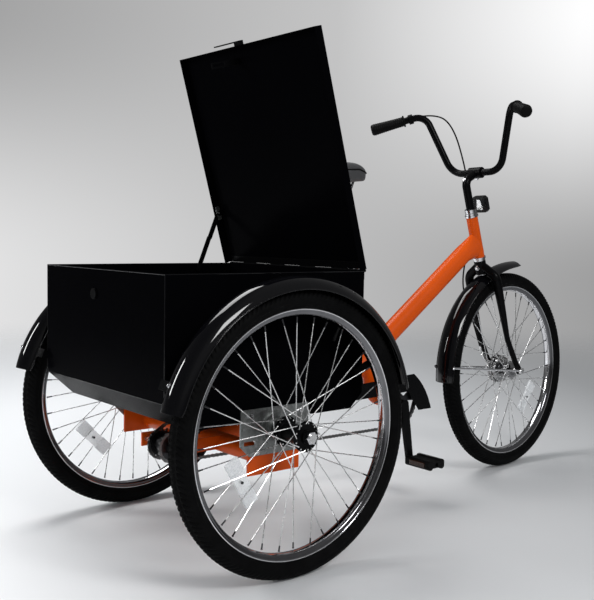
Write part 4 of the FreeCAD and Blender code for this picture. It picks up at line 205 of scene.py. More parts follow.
# Kinds of material. A pattern is its maker, scale, detail or feature, and the output that is used. One
# shades between two tones, at two of its levels, and one gives the relief. The sheen is the scale and
# detail of the noise that varies the roughness. Paint's edge is the radius that its corners show.
NOISE_LEVELS = (0.3, 0.7)
KINDS = {
    "paint": {
        "shade": (noise, 6.0, 3.0, "Fac"), "tones": (0.92, 1.06),
        "relief": (noise, 420.0, 1.0, "Fac"), "strength": 0.03, "depth": 0.0001,
        "sheen": (14.0, 3.0), "edge": 0.0008,
    },
    "metal": {
        "shade": (noise, 40.0, 4.0, "Fac"), "tones": (0.9, 1.06),
        "relief": (noise, 400.0, 2.0, "Fac"), "strength": 0.06, "depth": 0.0001,
        "sheen": (90.0, 5.0),
    },
    "zinc": {
        "shade": (cells, 160.0, "F1", "Color"), "tones": (0.75, 1.15), "levels": (0.1, 0.9),
        "relief": (cells, 160.0, "F1", "Distance"), "strength": 0.05, "depth": 0.0002,
        "sheen": (55.0, 3.0),
    },
    "moulding": {
        "shade": (noise, 30.0, 4.0, "Fac"), "tones": (0.75, 1.3),
        "depth": 0.0004, "sheen": (80.0, 3.0),
    },
    "leather": {
        "shade": (cells, 420.0, "DISTANCE_TO_EDGE", "Distance"), "tones": (0.55, 1.15),
        "relief": (cells, 420.0, "DISTANCE_TO_EDGE", "Distance"), "strength": 0.35, "depth": 0.0006,
        "sheen": (35.0, 3.0), "levels": (0.0, 0.25),
    },
    "lens": {
        "shade": (cells, 260.0, "F1", "Distance"), "tones": (0.8, 1.1), "levels": (0.0, 0.6),
        "relief": (cells, 420.0, "F1", "Distance"), "strength": 0.3, "depth": 0.0003,
        "sheen": (120.0, 3.0),
    },
}


def textured(name, kind, colour, roughness, spread, values, **changes):
    """A material of a kind, with the spread of its roughness and other values of its shader."""
    kind = {**KINDS[kind], **changes}
    material, tree, shader = new_material(name, colour, roughness, values)
    levels = kind.get("levels", NOISE_LEVELS)
    make, scale, setting, output = kind["shade"]
    shade_between(tree, shader, make(tree, scale, setting), output, colour, kind["tones"], levels)
    sheen = map_range(tree, noise(tree, *kind["sheen"]), "Fac", (*NOISE_LEVELS, *spread))
    join(tree, sheen, "Result", shader, "Roughness")
    make, scale, setting, output = kind["relief"]
    bump = bumps(tree, shader, make(tree, scale, setting), output, kind["strength"], kind["depth"])
    if "edge" in kind:
        bevel = add_node(tree, "ShaderNodeBevel", {"Radius": kind["edge"]}, samples=4)
        join(tree, bevel, "Normal", bump, "Normal")
    return material


MOULD_DETAIL = 2.0
PAINT_SPREAD, MOULD_SPREAD = (0.92, 1.1), (0.85, 1.15)


def paint(name, colour, roughness, coat, mirror):
    values = {"Specular IOR Level": mirror, "Coat Weight": coat, "Coat Roughness": 0.04}
    spread = scaled(PAINT_SPREAD, roughness)
    return textured(name, "paint", colour, roughness, spread, values)


def polished(name, colour, low, high):
    return textured(name, "metal", colour, low, (low, high), {"Metallic": 1.0})


def moulded(name, colour, roughness, grain, strength, mirror):
    spread = scaled(MOULD_SPREAD, roughness)
    return textured(name, "moulding", colour, roughness, spread, {"Specular IOR Level": mirror},
                    relief=(noise, grain, MOULD_DETAIL, "Fac"), strength=strength)


# Looks, each with its colour. Paint then takes a roughness, a coat and a mirror level, metal its lowest
# and highest roughness, a moulding its roughness, grain, relief and mirror level, and the others a
# roughness and its spread.
looks = {
    "frame_orange": paint("orange paint", (0.60, 0.074, 0.002), 0.34, 0.06, 0.14),
    "box_black": paint("satin black paint", (0.0012, 0.0012, 0.0016), 0.2, 0.0, 0.005),
    "fender_black": paint("gloss black paint", (0.0018, 0.0018, 0.0024), 0.06, 0.38, 0.2),
    "trim_black": paint("black paint", (0.0024, 0.0024, 0.0027), 0.28, 0.0, 0.06),
    "chrome": polished("chrome", (0.78, 0.78, 0.80), 0.05, 0.14),
    # Chrome made darker for the rim's hollow sides: a painted dark reflection.
    "painted_reflection_chrome": polished("chrome with painted dark reflection for the rim's hollow", (0.19, 0.19, 0.20), 0.06, 0.16),
    "galvanised": textured("galvanised steel", "zinc", (0.28, 0.29, 0.285), 0.4, (0.32, 0.5),
                           {"Metallic": 1.0}),
    "steel": polished("bare steel", (0.80, 0.80, 0.80), 0.2, 0.34),
    "dark_steel": polished("oiled steel", (0.05, 0.05, 0.053), 0.3, 0.5),
    "chain_steel": polished("chain steel", (0.17, 0.17, 0.17), 0.25, 0.42),
    "alloy": polished("satin alloy", (0.62, 0.62, 0.63), 0.22, 0.36),
    "drum_alloy": polished("drum alloy", (0.33, 0.33, 0.335), 0.1, 0.2),
    "tyre": moulded("tyre rubber", (0.0028, 0.0028, 0.0029), 0.6, 900.0, 0.25, 0.03),
    "rubber": moulded("black rubber", (0.0028, 0.0028, 0.0028), 0.5, 1200.0, 0.25, 0.08),
    "black_plastic": moulded("black plastic", (0.004, 0.004, 0.004), 0.35, 1500.0, 0.1, 0.25),
    "saddle": textured("saddle cover", "leather", (0.045, 0.045, 0.047), 0.45, (0.38, 0.58),
                       {"Sheen Weight": 0.15}),
    "clear_lens": textured("clear plastic", "lens", (0.80, 0.81, 0.82), 0.12, (0.08, 0.2), {"Alpha": 0.4}),
    "amber_lens": textured("amber plastic", "lens", (0.03, 0.008, 0.001), 0.12, (0.08, 0.2), {"Alpha": 1.0}),
}

# Nodes that look other than their slot.
SPECIAL_LOOKS = {
    "front_hub": "drum_alloy", "brake_plate": "drum_alloy", "saddle_rails": "dark_steel",
    "hub_shell": "dark_steel",
}


def dress_nodes():
    for part in record["subparts"]:
        look = SPECIAL_LOOKS.get(part["node"], part["material_slot"])
        mesh = nodes[part["node"]].data
        mesh.materials.clear()
        mesh.materials.append(looks[look])


# The steering frame: ahead, left and up along the steering axis, turned a little to the left at rest.
HEAD_ANGLE = math.radians(72.0)
REST_TURN = math.radians(4.4)
STEER_FOOT = Vector((0.585164, 0.0, 0.319494))
FORK_RAKE = 0.034


def steering_frame():
    up = Vector((-math.cos(HEAD_ANGLE), 0, math.sin(HEAD_ANGLE)))
    ahead = Vector((math.sin(HEAD_ANGLE), 0, math.cos(HEAD_ANGLE)))
    turned_ahead = ahead * math.cos(REST_TURN) + LEFTWARD * math.sin(REST_TURN)
    turned_left = LEFTWARD * math.cos(REST_TURN) - ahead * math.sin(REST_TURN)
    return axes_at(STEER_FOOT, turned_ahead, turned_left, up)


STEERED = steering_frame()
STEERED_AHEAD, STEERED_LEFT, STEERED_UP = [STEERED.to_3x3() @ way for way in (AHEAD, LEFTWARD, UPWARD)]


def steered(spot):
    """A place in the steering frame, in the object's own frame."""
    return STEERED @ Vector(spot)


# Each wheel's body and frame: X ahead, Y down, Z to the left along its axle.
AXLE_HEIGHT = 0.33
REAR_X = -0.6175
TRACK_HALF = 0.368
TO_WHEEL = Matrix(((1, 0, 0, 0), (0, 0, 1, 0), (0, -1, 0, 0), (0, 0, 0, 1)))
FRONT_AXLE = STEERED @ Matrix.Translation((FORK_RAKE, 0, 0))
WHEELS = {
    "front": ("front_wheel", FRONT_AXLE @ TO_WHEEL),
    "right": ("right_wheel", Matrix.Translation((REAR_X, -TRACK_HALF, AXLE_HEIGHT)) @ TO_WHEEL),
    "left": ("left_wheel", Matrix.Translation((REAR_X, TRACK_HALF, AXLE_HEIGHT)) @ TO_WHEEL),
}


# Forms, made in mesh code. Edges sharper than a crease, in degrees, stay sharp.
def finish_piece(name, form, body, slot, look=None, crease=35):
    """A piece from a form, on a body, with a slot's look or one of its own."""
    bmesh.ops.recalc_face_normals(form, faces=form.faces)
    mesh = bpy.data.meshes.new(name)
    form.to_mesh(mesh)
    form.free()
    mesh.materials.append(looks[look or slot])
    for face in mesh.polygons:
        face.use_smooth = True
    mesh.set_sharp_from_angle(angle=math.radians(crease))
    piece = bpy.data.objects.new(name, mesh)
    scene.collection.objects.link(piece)
    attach(piece, body)
    return piece


def skin(form, rows, closed_rows=True, closed_ends=False):
    """Faces between rows of vertices; a row may close on itself, and the last row on the first."""
    count = len(rows[0])
    reach = count if closed_rows else count - 1
    last = len(rows) if closed_ends else len(rows) - 1
    for i in range(last):
        here, there = rows[i], rows[(i + 1) % len(rows)]
        for j in range(reach):
            k = (j + 1) % count
            form.faces.new((here[j], here[k], there[k], there[j]))


def skin_closed(form, rows):
    """Faces between closed rows, and over the first and the last."""
    skin(form, rows)
    form.faces.new(rows[0])
    form.faces.new(rows[-1][::-1])


def add_tube(form, points, radii, sides=8):
    """A round bar along points, with a radius at each, closed at both ends."""
    rows = []
    across = None
    for i, point in enumerate(points):
        before, after = points[max(i - 1, 0)], points[min(i + 1, len(points) - 1)]
        along = (after - before).normalized()
        if across is None:
            across = along.orthogonal().normalized()
        across = (across - along * across.dot(along)).normalized()
        beside = along.cross(across)
        rows.append([form.verts.new(point + (across * math.cos(angle) + beside * math.sin(angle)) * radii[i])
                     for angle in round_angles(sides)])
    skin_closed(form, rows)


def add_bar(form, points, radius, sides=8):
    add_tube(form, [Vector(point) for point in points], [radius] * len(points), sides)


def add_turned(form, place_in, profile, sides):
    """A profile of (radius, height) turned about a frame's Z, closed at both ends."""
    angles = round_angles(sides)
    skin_closed(form, [[form.verts.new(place_in @ polar(radius, angle, height)) for angle in angles]
                       for radius, height in profile])


def add_plate(form, place_in, outline, low, high):
    """A flat plate with an outline in a frame's XY plane."""
    skin_closed(form, [[form.verts.new(place_in @ Vector((x, y, height))) for x, y in outline]
                       for height in (low, high)])


CORNER_STEPS = 4
CORNER_SIGNS = ((1, 1), (-1, 1), (-1, -1), (1, -1))


def rounded_outline(length, width, corner):
    """A rectangle with round corners."""
    outline = []
    for quarter, (along, aside) in enumerate(CORNER_SIGNS):
        for i in range(CORNER_STEPS + 1):
            angle = math.pi / 2 * (quarter + i / CORNER_STEPS)
            outline.append((along * (length / 2 - corner) + corner * math.cos(angle),
                            aside * (width / 2 - corner) + corner * math.sin(angle)))
    return outline


# Bolts: a washer, a hexagon and a domed end, in shares of the hexagon's radius, and the sides of each.
BOLT_FORMS = (
    ([(1.25, 0.0), (1.25, 0.12), (1.175, 0.18)], 20),
    ([(1.0, 0.18), (1.0, 0.72), (0.88, 0.8)], 6),
    ([(0.5, 0.8), (0.5, 1.0), (0.36, 1.12), (0.12, 1.16)], 14),
)
BOLT_SMALL, BOLT_LARGE = 0.0042, 0.0062


def add_bolt(form, point, along, size):
    place_in = facing(point, along)
    for shares, sides in BOLT_FORMS:
        add_turned(form, place_in, [(size * wide, size * high) for wide, high in shares], sides)


# Lenses, for the reflectors.
LENS_EDGE_SHARE = 0.75


def add_lens(form, place_in, size, thick, prisms, waffle):
    """A plate that is lower along its edge, its face a waffle of small pyramids."""
    length, width = size
    across, down = [count * 2 for count in prisms]
    rows = []
    for j in range(down + 1):
        row = []
        for i in range(across + 1):
            peak = waffle if i % 2 and j % 2 else 0.0
            edge = i in (0, across) or j in (0, down)
            height = thick * (LENS_EDGE_SHARE if edge else 1.0) + peak
            spot = Vector((length * (i / across - 0.5), width * (j / down - 0.5), height))
            row.append(form.verts.new(place_in @ spot))
        rows.append(row)
    skin(form, rows, closed_rows=False)
    rim = rows[0] + [row[-1] for row in rows[1:]] + rows[-1][-2::-1] + [row[0] for row in rows[-2:0:-1]]
    inverse = place_in.inverted()
    under = [form.verts.new(place_in @ (inverse @ vertex.co).xy.to_3d()) for vertex in rim]
    skin(form, [rim, under])
    form.faces.new(under)


# Brake cable: the route's points in the steering frame.
CABLE_ROUTE = [
    (0.05083, 0.206056, 0.886014), (0.093025, 0.163529, 0.889336), (0.085412, 0.073796, 0.854125),
    (0.083363, 0.050564, 0.6833), (0.06628, 0.049881, 0.562356), (0.047831, 0.047831, 0.47011),
    (0.0082, 0.07243, 0.384698), (-0.021182, 0.073796, 0.310218), (-0.025965, 0.056714, 0.250088),
    (-0.021387, 0.04421, 0.093612),
]
CABLE_RADIUS = 0.0025


def make_cable():
    data = bpy.data.curves.new("brake_cable_line", "CURVE")
    data.dimensions = "3D"
    line = data.splines.new("NURBS")
    line.points.add(len(CABLE_ROUTE) - 1)
    for point, spot in zip(line.points, CABLE_ROUTE):
        point.co = (*steered(spot), 1.0)
    line.order_u = 3
    line.use_endpoint_u = True
    line.resolution_u = 16
    data.bevel_depth = CABLE_RADIUS
    data.bevel_resolution = 3
    data.use_fill_caps = True
    data.materials.append(looks["rubber"])
    cable = bpy.data.objects.new("brake_cable_line", data)
    scene.collection.objects.link(cable)
    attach(cable, "fork")
    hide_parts("brake_cable")


# Tyres: a round casing with a rib on each side and a tread of slanting blocks.
TREAD_BLOCKS = 148
STEPS_PER_BLOCK = 6
TYRE_RADIUS = 0.330
CASING_MIDDLE = 0.305
CASING_HALF_WIDTH = 0.0284
TREAD_REACH = math.radians(64)
TREAD_COLUMNS = 18
SIDE_ANGLES = [72, 84, 96, 99, 102, 114, 126, 138]
RIB_ANGLE = 99
RIB_RISE = 0.0008
BEAD = [(0.0135, 0.2862), (0.0132, 0.2832)]
GROOVE_DEPTH = 0.0026
CHANNEL_SHARE, CHANNEL_HALF_SHARE = 0.3, 0.09
# The slant of the cuts between blocks, and the share of a block's pitch that is cut away.
SHOULDER_SLANT, SHOULDER_CUT = 1.6, 0.34
MIDDLE_SLANT, MIDDLE_CUT = 1.2, 0.2


def tyre_section():
    """Height and radius of each point across the tyre, and its share of the tread's half width."""
    rise = TYRE_RADIUS - CASING_MIDDLE
    right = []
    for degrees in SIDE_ANGLES:
        angle = math.radians(degrees)
        out = RIB_RISE if degrees == RIB_ANGLE else 0.0
        height = (CASING_HALF_WIDTH + out) * math.sin(angle)
        right.append((height, CASING_MIDDLE + (rise + out) * math.cos(angle), None))
    right += [(height, radius, None) for height, radius in BEAD]
    tread = []
    for column in range(TREAD_COLUMNS + 1):
        share = 2 * column / TREAD_COLUMNS - 1
        angle = share * TREAD_REACH
        tread.append((CASING_HALF_WIDTH * math.sin(angle), CASING_MIDDLE + rise * math.cos(angle), share))
    left = [(-height, radius, share) for height, radius, share in right[::-1]]
    return left + tread + right


def groove(step, share):
    """How deep the tread is cut at a step round the tyre and a share of its half width."""
    if share is None:
        return 0.0
    turn = step / STEPS_PER_BLOCK
    aside = abs(share)
    if abs(aside - CHANNEL_SHARE) < CHANNEL_HALF_SHARE:
        return GROOVE_DEPTH
    if aside > CHANNEL_SHARE:
        cut = (turn + aside * SHOULDER_SLANT) % 1.0 < SHOULDER_CUT
    else:
        cut = (turn + share * MIDDLE_SLANT) % 1.0 < MIDDLE_CUT
    return GROOVE_DEPTH if cut else 0.0


def make_tyre(side):
    body, place_in = WHEELS[side]
    section = tyre_section()
    form = bmesh.new()
    rows = [[form.verts.new(place_in @ polar(radius - groove(step, share), angle, height))
             for height, radius, share in section]
            for step, angle in enumerate(round_angles(TREAD_BLOCKS * STEPS_PER_BLOCK))]
    skin(form, rows, closed_ends=True)
    piece = finish_piece(side + "_tyre_tread", form, body, "tyre")
    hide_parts(side + "_tyre")


# Rims: a rolled lip, hollow sides and a ridged bed, which give chrome its light lines; the hollow sides take
# a darker chrome, a painted dark reflection.
RIM_LIP = [
    (0.2790, 0.0130), (0.2842, 0.0142), (0.2860, 0.0150), (0.2866, 0.0163), (0.2858, 0.0172),
    (0.2842, 0.0174), (0.2828, 0.0166),
]
RIM_HOLLOW = [(0.2818, 0.0156), (0.2790, 0.0148), (0.2755, 0.0138), (0.2728, 0.0118), (0.2712, 0.0092)]
RIM_BED = [(0.2704, 0.0072), (0.2698, 0.0060), (0.2694, 0.0030), (0.2693, 0.0)]
RIM_STEPS = 160


def make_rim(side):
    body, place_in = WHEELS[side]
    half = RIM_LIP + RIM_HOLLOW + RIM_BED
    profile = half + [(radius, -height) for radius, height in half[-2::-1]]
    form = bmesh.new()
    rows = [[form.verts.new(place_in @ polar(radius, angle, height)) for radius, height in profile]
            for angle in round_angles(RIM_STEPS)]
    skin(form, rows, closed_ends=True)
    # The hollow's faces take the darker chrome, a painted dark reflection.
    for number, face in enumerate(form.faces):
        radius, height = profile[number % len(profile)]
        if (radius, abs(height)) in RIM_HOLLOW:
            face.material_index = 1
    piece = finish_piece(side + "_rim_section", form, body, "chrome", crease=60)
    piece.data.materials.append(looks["painted_reflection_chrome"])
    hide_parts(side + "_rim")


# Spokes, laced three cross, with dark nipples, and a valve. A flange is its holes' radius and its height.
SPOKES_PER_FLANGE = 18
SPOKE_CROSSINGS = 3
SPOKE_RADIUS, ELBOW_RADIUS = 0.0013, 0.00195
RIM_END = 0.2657
NIPPLE_OFFSET = 0.0028
FLANGE_STAND = 0.00245
OUTER_LIFT, INNER_LIFT = 0.0028, 0.0005
NIPPLE_LENGTH = 0.014
NIPPLE_RADII = [0.0024, 0.0024, 0.0019, 0.0017]
NIPPLE_SHARES = [0.0, 0.12, 0.2, 1.0]
REAR_FLANGES = [(0.0305, -0.035), (0.0305, 0.035)]
FLANGES = {
    "front": [(0.029, -0.0265), (0.045, 0.0265)],
    "right": REAR_FLANGES, "left": REAR_FLANGES,
}


def spoke_ends(side):
    """Each spoke's head, elbow and end in the rim."""
    step = 2 * math.pi / SPOKES_PER_FLANGE
    for number, (circle, height) in enumerate(FLANGES[side]):
        outward = math.copysign(1, height)
        for i in range(SPOKES_PER_FLANGE):
            angle = step * i + step / 2 * number
            lead = 1 if i % 2 else -1
            reach = angle + step * SPOKE_CROSSINGS * lead
            lift = OUTER_LIFT if lead > 0 else INNER_LIFT
            head = polar(circle, angle, height - outward * lead * FLANGE_STAND)
            elbow = polar(circle, angle, height + outward * lead * (FLANGE_STAND + lift))
            yield head, elbow, polar(RIM_END, reach, outward * NIPPLE_OFFSET)


def make_spokes(side):
    body, place_in = WHEELS[side]
    bars, caps = bmesh.new(), bmesh.new()
    for spots in spoke_ends(side):
        head, elbow, end = [place_in @ spot for spot in spots]
        add_tube(bars, [head, elbow, end], [ELBOW_RADIUS, SPOKE_RADIUS, SPOKE_RADIUS])
        inward = (elbow - end).normalized() * NIPPLE_LENGTH
        add_tube(caps, [end + inward * share for share in NIPPLE_SHARES], NIPPLE_RADII)
    piece = finish_piece(side + "_laced_spokes", bars, body, "steel")
    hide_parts(side + "_spokes")
    finish_piece(side + "_nipples", caps, body, "dark_steel")


VALVE_DEGREES = {"front": -116, "right": -62, "left": -75}
VALVE_PROFILE = [
    (0.0042, 0.0), (0.0042, 0.003), (0.003, 0.004), (0.003, 0.02), (0.0038, 0.021), (0.0038, 0.031),
    (0.0028, 0.034),
]


def make_valve(side):
    body, place_in = WHEELS[side]
    spot = polar(RIM_END, math.radians(VALVE_DEGREES[side]))
    form = bmesh.new()
    add_turned(form, place_in @ facing(spot, -spot), VALVE_PROFILE, sides=12)
    finish_piece(side + "_valve", form, body, "rubber")


# Wheel reflectors, by radius and degrees.
WHEEL_REFLECTORS = {"front": (0.175, 57.2), "right": (0.174, 149.9), "left": (0.180, 134.7)}
WHEEL_LENS, WHEEL_LENS_THICK, WHEEL_LENS_ASIDE = (0.0366, 0.036), 0.005, 0.04026
WHEEL_PRISMS, WHEEL_WAFFLE = (8, 8), 0.0007
CLIP_LENGTH, CLIP_WIDTH, CLIP_CORNER, CLIP_HALF = 0.0488, 0.0324, 0.006, 0.003
SCREW_HEAD = [(0.0034, 0.0), (0.0034, 0.0015), (0.0024, 0.0028), (0.0009, 0.003)]


def make_wheel_reflector(side):
    """Two lenses on a bar that clips to the spokes, with a screw in its middle."""
    body, place_in = WHEELS[side]
    radius, degrees = WHEEL_REFLECTORS[side]
    angle = math.radians(degrees)
    spot = polar(radius, angle)
    outward = polar(1.0, angle)
    tangent = UPWARD.cross(outward)
    form, screw = bmesh.new(), bmesh.new()
    for normal in (-UPWARD, UPWARD):
        for way in (-1, 1):
            centre = spot + tangent * WHEEL_LENS_ASIDE * way
            lens_frame = place_in @ axes_at(centre, tangent, normal.cross(tangent), normal)
            add_lens(form, lens_frame, WHEEL_LENS, WHEEL_LENS_THICK, WHEEL_PRISMS, WHEEL_WAFFLE)
        head = facing(spot + normal * CLIP_HALF, normal, outward)
        add_turned(screw, place_in @ head, SCREW_HEAD, sides=12)
    clip = rounded_outline(CLIP_LENGTH, CLIP_WIDTH, CLIP_CORNER)
    clip_frame = place_in @ axes_at(spot, tangent, UPWARD.cross(tangent), UPWARD)
    add_plate(form, clip_frame, clip, -CLIP_HALF, CLIP_HALF)
    finish_piece(side + "_wheel_reflector", form, body, "black_plastic", "clear_lens", crease=12)
    finish_piece(side + "_reflector_screw", screw, body, "dark_steel")


# Chains: plates in pairs, and a roller on every pin. Each runs from one sprocket to another, given as
# centre and teeth, with a count of links, in a plane at a distance to the left.
PITCH = 0.0127
HUB_PLACE = Vector((-0.752148, 0, 0.258616))
CHAINS = {
    "front_chain": (Vector((0.0275, 0, 0.288)), 36, HUB_PLACE, 18, 150, -0.062),
    "drive_chain": (HUB_PLACE, 18, Vector((REAR_X, 0, AXLE_HEIGHT)), 18, 42, -0.012),
}
LINK_END, LINK_WAIST = 0.0041, 0.0029
LINK_STEPS, LINK_SPREAD = 6, math.radians(125)
ROLLER_RADIUS = 0.0039
PLATE_THICK = 0.0008
INNER_PLATE, OUTER_PLATE = 0.0016, 0.0025
PIN_RADIUS, PIN_HALF = 0.0018, 0.0036


def chain_pins(start, start_teeth, end, end_teeth, links):
    """Each pin's place on a chain round two sprockets."""
    start_radius, end_radius = [PITCH / 2 / math.sin(math.pi / teeth) for teeth in (start_teeth, end_teeth)]
    between = end - start
    base = math.atan2(between.z, between.x)
    slope = math.asin((start_radius - end_radius) / between.length)
    straight = math.sqrt(between.length ** 2 - (start_radius - end_radius) ** 2) / PITCH
    end_turn = end_teeth * (0.5 - slope / math.pi)
    top, low = base + math.pi / 2 - slope, base - math.pi / 2 + slope

    def at_start(angle):
        return start + wheel_way(angle) * start_radius

    def at_end(angle):
        return end + wheel_way(angle) * end_radius

    pins = []
    for rest in range(links):
        if rest < straight:
            pins.append(at_start(top).lerp(at_end(top), rest / straight))
        elif rest < straight + end_turn:
            pins.append(at_end(top - 2 * math.pi * (rest - straight) / end_teeth))
        elif rest < straight * 2 + end_turn:
            pins.append(at_end(low).lerp(at_start(low), (rest - straight - end_turn) / straight))
        else:
            pins.append(at_start(low - 2 * math.pi * (rest - straight * 2 - end_turn) / start_teeth))
    return pins


def link_outline(length):
    """A plate with two round ends and a waist."""
    angles = [LINK_SPREAD * (2 * i / LINK_STEPS - 1) for i in range(LINK_STEPS + 1)]
    right = [(length / 2 + LINK_END * math.cos(angle), LINK_END * math.sin(angle)) for angle in angles]
    left = [(-x, -y) for x, y in right]
    return right + [(0, LINK_WAIST)] + left + [(0, -LINK_WAIST)]


def make_chain(name):
    *course, line = CHAINS[name]
    pins = [pin + LEFTWARD * line for pin in chain_pins(*course)]
    form = bmesh.new()
    for i, pin in enumerate(pins):
        after = pins[(i + 1) % len(pins)]
        along = (after - pin).normalized()
        link_frame = axes_at((pin + after) / 2, along, LEFTWARD.cross(along), LEFTWARD)
        near = OUTER_PLATE if i % 2 else INNER_PLATE
        outline = link_outline((after - pin).length)
        for low in (near, -near - PLATE_THICK):
            add_plate(form, link_frame, outline, low, low + PLATE_THICK)
        inner, outer = LEFTWARD * INNER_PLATE, LEFTWARD * PIN_HALF
        add_bar(form, (pin - inner, pin + inner), ROLLER_RADIUS, sides=10)
        add_bar(form, (pin - outer, pin + outer), PIN_RADIUS)
    piece = finish_piece(name + "_links", form, "frame", "dark_steel", "chain_steel", crease=30)
    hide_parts(name)


# Fenders: thin curved sheet with rolled edges. Each has a wheel, a body, its crown's radius, and the
# degrees that it spans from ahead over the top. Across, the sheet is an arc, rounder on the rear ones.
FENDERS = {
    "front_fender": ("front", "fork", 0.355, 66, 164),
    "right_fender": ("right", "frame", 0.347, 13, 166),
    "left_fender": ("left", "frame", 0.347, 13, 166),
}
FENDER_HALF, FENDER_SAG, REAR_DOME = 0.034, 0.017, 0.012
FENDER_SHEET = 0.0014
FENDER_COLUMNS = 20
FENDER_STEP = 1.5
ROLL_RADIUS = 0.0018
# The front one's front end is lifted, and every end narrows a little.
FRONT_LIFT, LIFT_DEGREES, LIFT_POWER = 0.017, 30.0, 1.5
END_WIDTH_SHARE, END_DEGREES = 0.9, 5.0


def crown_radius(dome):
    sag = FENDER_SAG + dome
    return (FENDER_HALF ** 2 + sag ** 2) / (2 * sag)


def fender_section(radius, narrow, dome):
    """The sheet's outside and inside, as (radius, height)."""
    crown = crown_radius(dome)
    reach = math.asin(FENDER_HALF / crown)
    middle = radius + dome - crown
    angles = [reach * narrow * (2 * i / FENDER_COLUMNS - 1) for i in range(FENDER_COLUMNS + 1)]
    outside, inside = [[(middle + arc * math.cos(angle), arc * math.sin(angle)) for angle in angles]
                       for arc in (crown, crown - FENDER_SHEET)]
    return outside + inside[::-1]


def make_fender(name):
    side, body, radius, start, end = FENDERS[name]
    place_in = WHEELS[side][1]
    dome, lift = (0.0, FRONT_LIFT) if side == "front" else (REAR_DOME, 0.0)
    form = bmesh.new()
    rows = []
    count = int((end - start) / FENDER_STEP)
    for i in range(count + 1):
        degrees = start + (end - start) * i / count
        inward = min(degrees - start, end - degrees, END_DEGREES) / END_DEGREES
        narrow = END_WIDTH_SHARE + (1 - END_WIDTH_SHARE) * math.sqrt(inward)
        raised = lift * max(0.0, 1 - (degrees - start) / LIFT_DEGREES) ** LIFT_POWER
        angle = -math.radians(degrees)
        rows.append([form.verts.new(place_in @ polar(distance, angle, height))
                     for distance, height in fender_section(radius + raised, narrow, dome)])
    skin_closed(form, rows)
    for column in (0, FENDER_COLUMNS):
        add_bar(form, [row[column].co for row in rows], ROLL_RADIUS)
    piece = finish_piece(name + "_sheet", form, body, "fender_black", crease=50)
    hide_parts(name)


FENDER_BOLT_DEGREES = (23, 157)
FENDER_BOLT_LEFT = 0.008


def make_frame_bolts():
    """Bolts through the rear fenders into their brackets."""
    form = bmesh.new()
    crown = crown_radius(REAR_DOME)
    lean = math.asin(FENDER_BOLT_LEFT / crown)
    for name in ("right_fender", "left_fender"):
        side, _, radius, _, _ = FENDERS[name]
        place_in = WHEELS[side][1]
        for degrees in FENDER_BOLT_DEGREES:
            radial = polar(1.0, -math.radians(degrees))
            normal = radial * math.cos(lean) + UPWARD * math.sin(lean)
            spot = radial * (radius + REAR_DOME - crown) + normal * crown
            add_bolt(form, place_in @ spot, place_in.to_3x3() @ normal, BOLT_SMALL)
    finish_piece("fender_bolts", form, "frame", "chrome")


CROWN_BOLT = (-0.0195, 0.0, 0.383)
STEM_MIDDLE_HALF, STEM_FRONT_BAND = 0.008, 0.02
STEM_BOLT_SHIFT, CLAMP_BOLT_UP = Vector((-0.004, 0, -0.003)), 0.001
STEM_BOLT_WAY = Vector((-0.6, 0, 0.8))


def make_fork_bolts():
    """A bolt behind the crown, one at the stem's upper rear edge and one under its front end."""
    form = bmesh.new()
    add_bolt(form, steered(CROWN_BOLT), -STEERED_AHEAD, BOLT_LARGE)
    spots = corners_of("stem", STEERED)
    middle = [spot for spot in spots if abs(spot.y) < STEM_MIDDLE_HALF]
    upper = max(middle, key=lambda spot: spot.z - spot.x)
    spot = Vector((upper.x, 0, upper.z)) + STEM_BOLT_SHIFT
    add_bolt(form, steered(spot), STEERED.to_3x3() @ STEM_BOLT_WAY, BOLT_SMALL)
    ahead = max(spot.x for spot in spots)
    under = min((spot for spot in spots if spot.x > ahead - STEM_FRONT_BAND), key=lambda spot: spot.z)
    add_bolt(form, steered((under.x, 0, under.z + CLAMP_BOLT_UP)), -STEERED_UP, BOLT_LARGE)
    finish_piece("steering_bolts", form, "fork", "chrome")


# Front fender stays: a round bar on each side with an eye on the axle and a bolt in the fender, and the
# tab at the crown.
STAY_DEGREES = 156
STAY_REACH, STAY_ASIDE, STAY_EYE_ASIDE = 0.341, 0.0358, 0.0595
STAY_RADIUS, STAY_EYE_RADIUS, STAY_EYE_HALF = 0.0033, 0.0095, 0.0015
STAY_START_SHARE = 0.8
TAB_ABOVE = 0.3


def make_front_stays():
    along = wheel_way(math.radians(STAY_DEGREES))
    form, bolts = bmesh.new(), bmesh.new()
    for side in (-1, 1):
        outward = STEERED_LEFT * side
        eye = LEFTWARD * side * STAY_EYE_ASIDE
        end = along * STAY_REACH + LEFTWARD * side * STAY_ASIDE
        rim = [(STAY_EYE_RADIUS, -STAY_EYE_HALF), (STAY_EYE_RADIUS, STAY_EYE_HALF)]
        add_turned(form, facing(FRONT_AXLE @ eye, outward), rim, sides=28)
        spots = [eye + along * STAY_EYE_RADIUS * STAY_START_SHARE, eye + along * FORK_RAKE, end]
        add_bar(form, [FRONT_AXLE @ spot for spot in spots], STAY_RADIUS, sides=12)
        add_bolt(bolts, FRONT_AXLE @ end, outward, BOLT_SMALL)
    tab = [spot for spot in corners_of("front_fender_stays", FRONT_AXLE) if spot.z > TAB_ABOVE]
    low, high = box_of(tab)
    outline = [(low.x, low.y), (high.x, low.y), (high.x, high.y), (low.x, high.y)]
    add_plate(form, FRONT_AXLE, outline, low.z, high.z)
    piece = finish_piece("front_stay_bars", form, "fork", "chrome")
    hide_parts("front_fender_stays")
    finish_piece("front_stay_bolts", bolts, "fork", "chrome")


# The bare end of the brake wire: a ferrule on the casing's end, the wire, and a pinch bolt on the arm.
WIRE_RADIUS, WIRE_SPARE = 0.0009, 0.010
FERRULE = [(0.0030, -0.012), (0.0036, -0.011), (0.0036, 0.002), (0.0026, 0.004), (0.0016, 0.007)]
ARM_END_BAND = 0.003


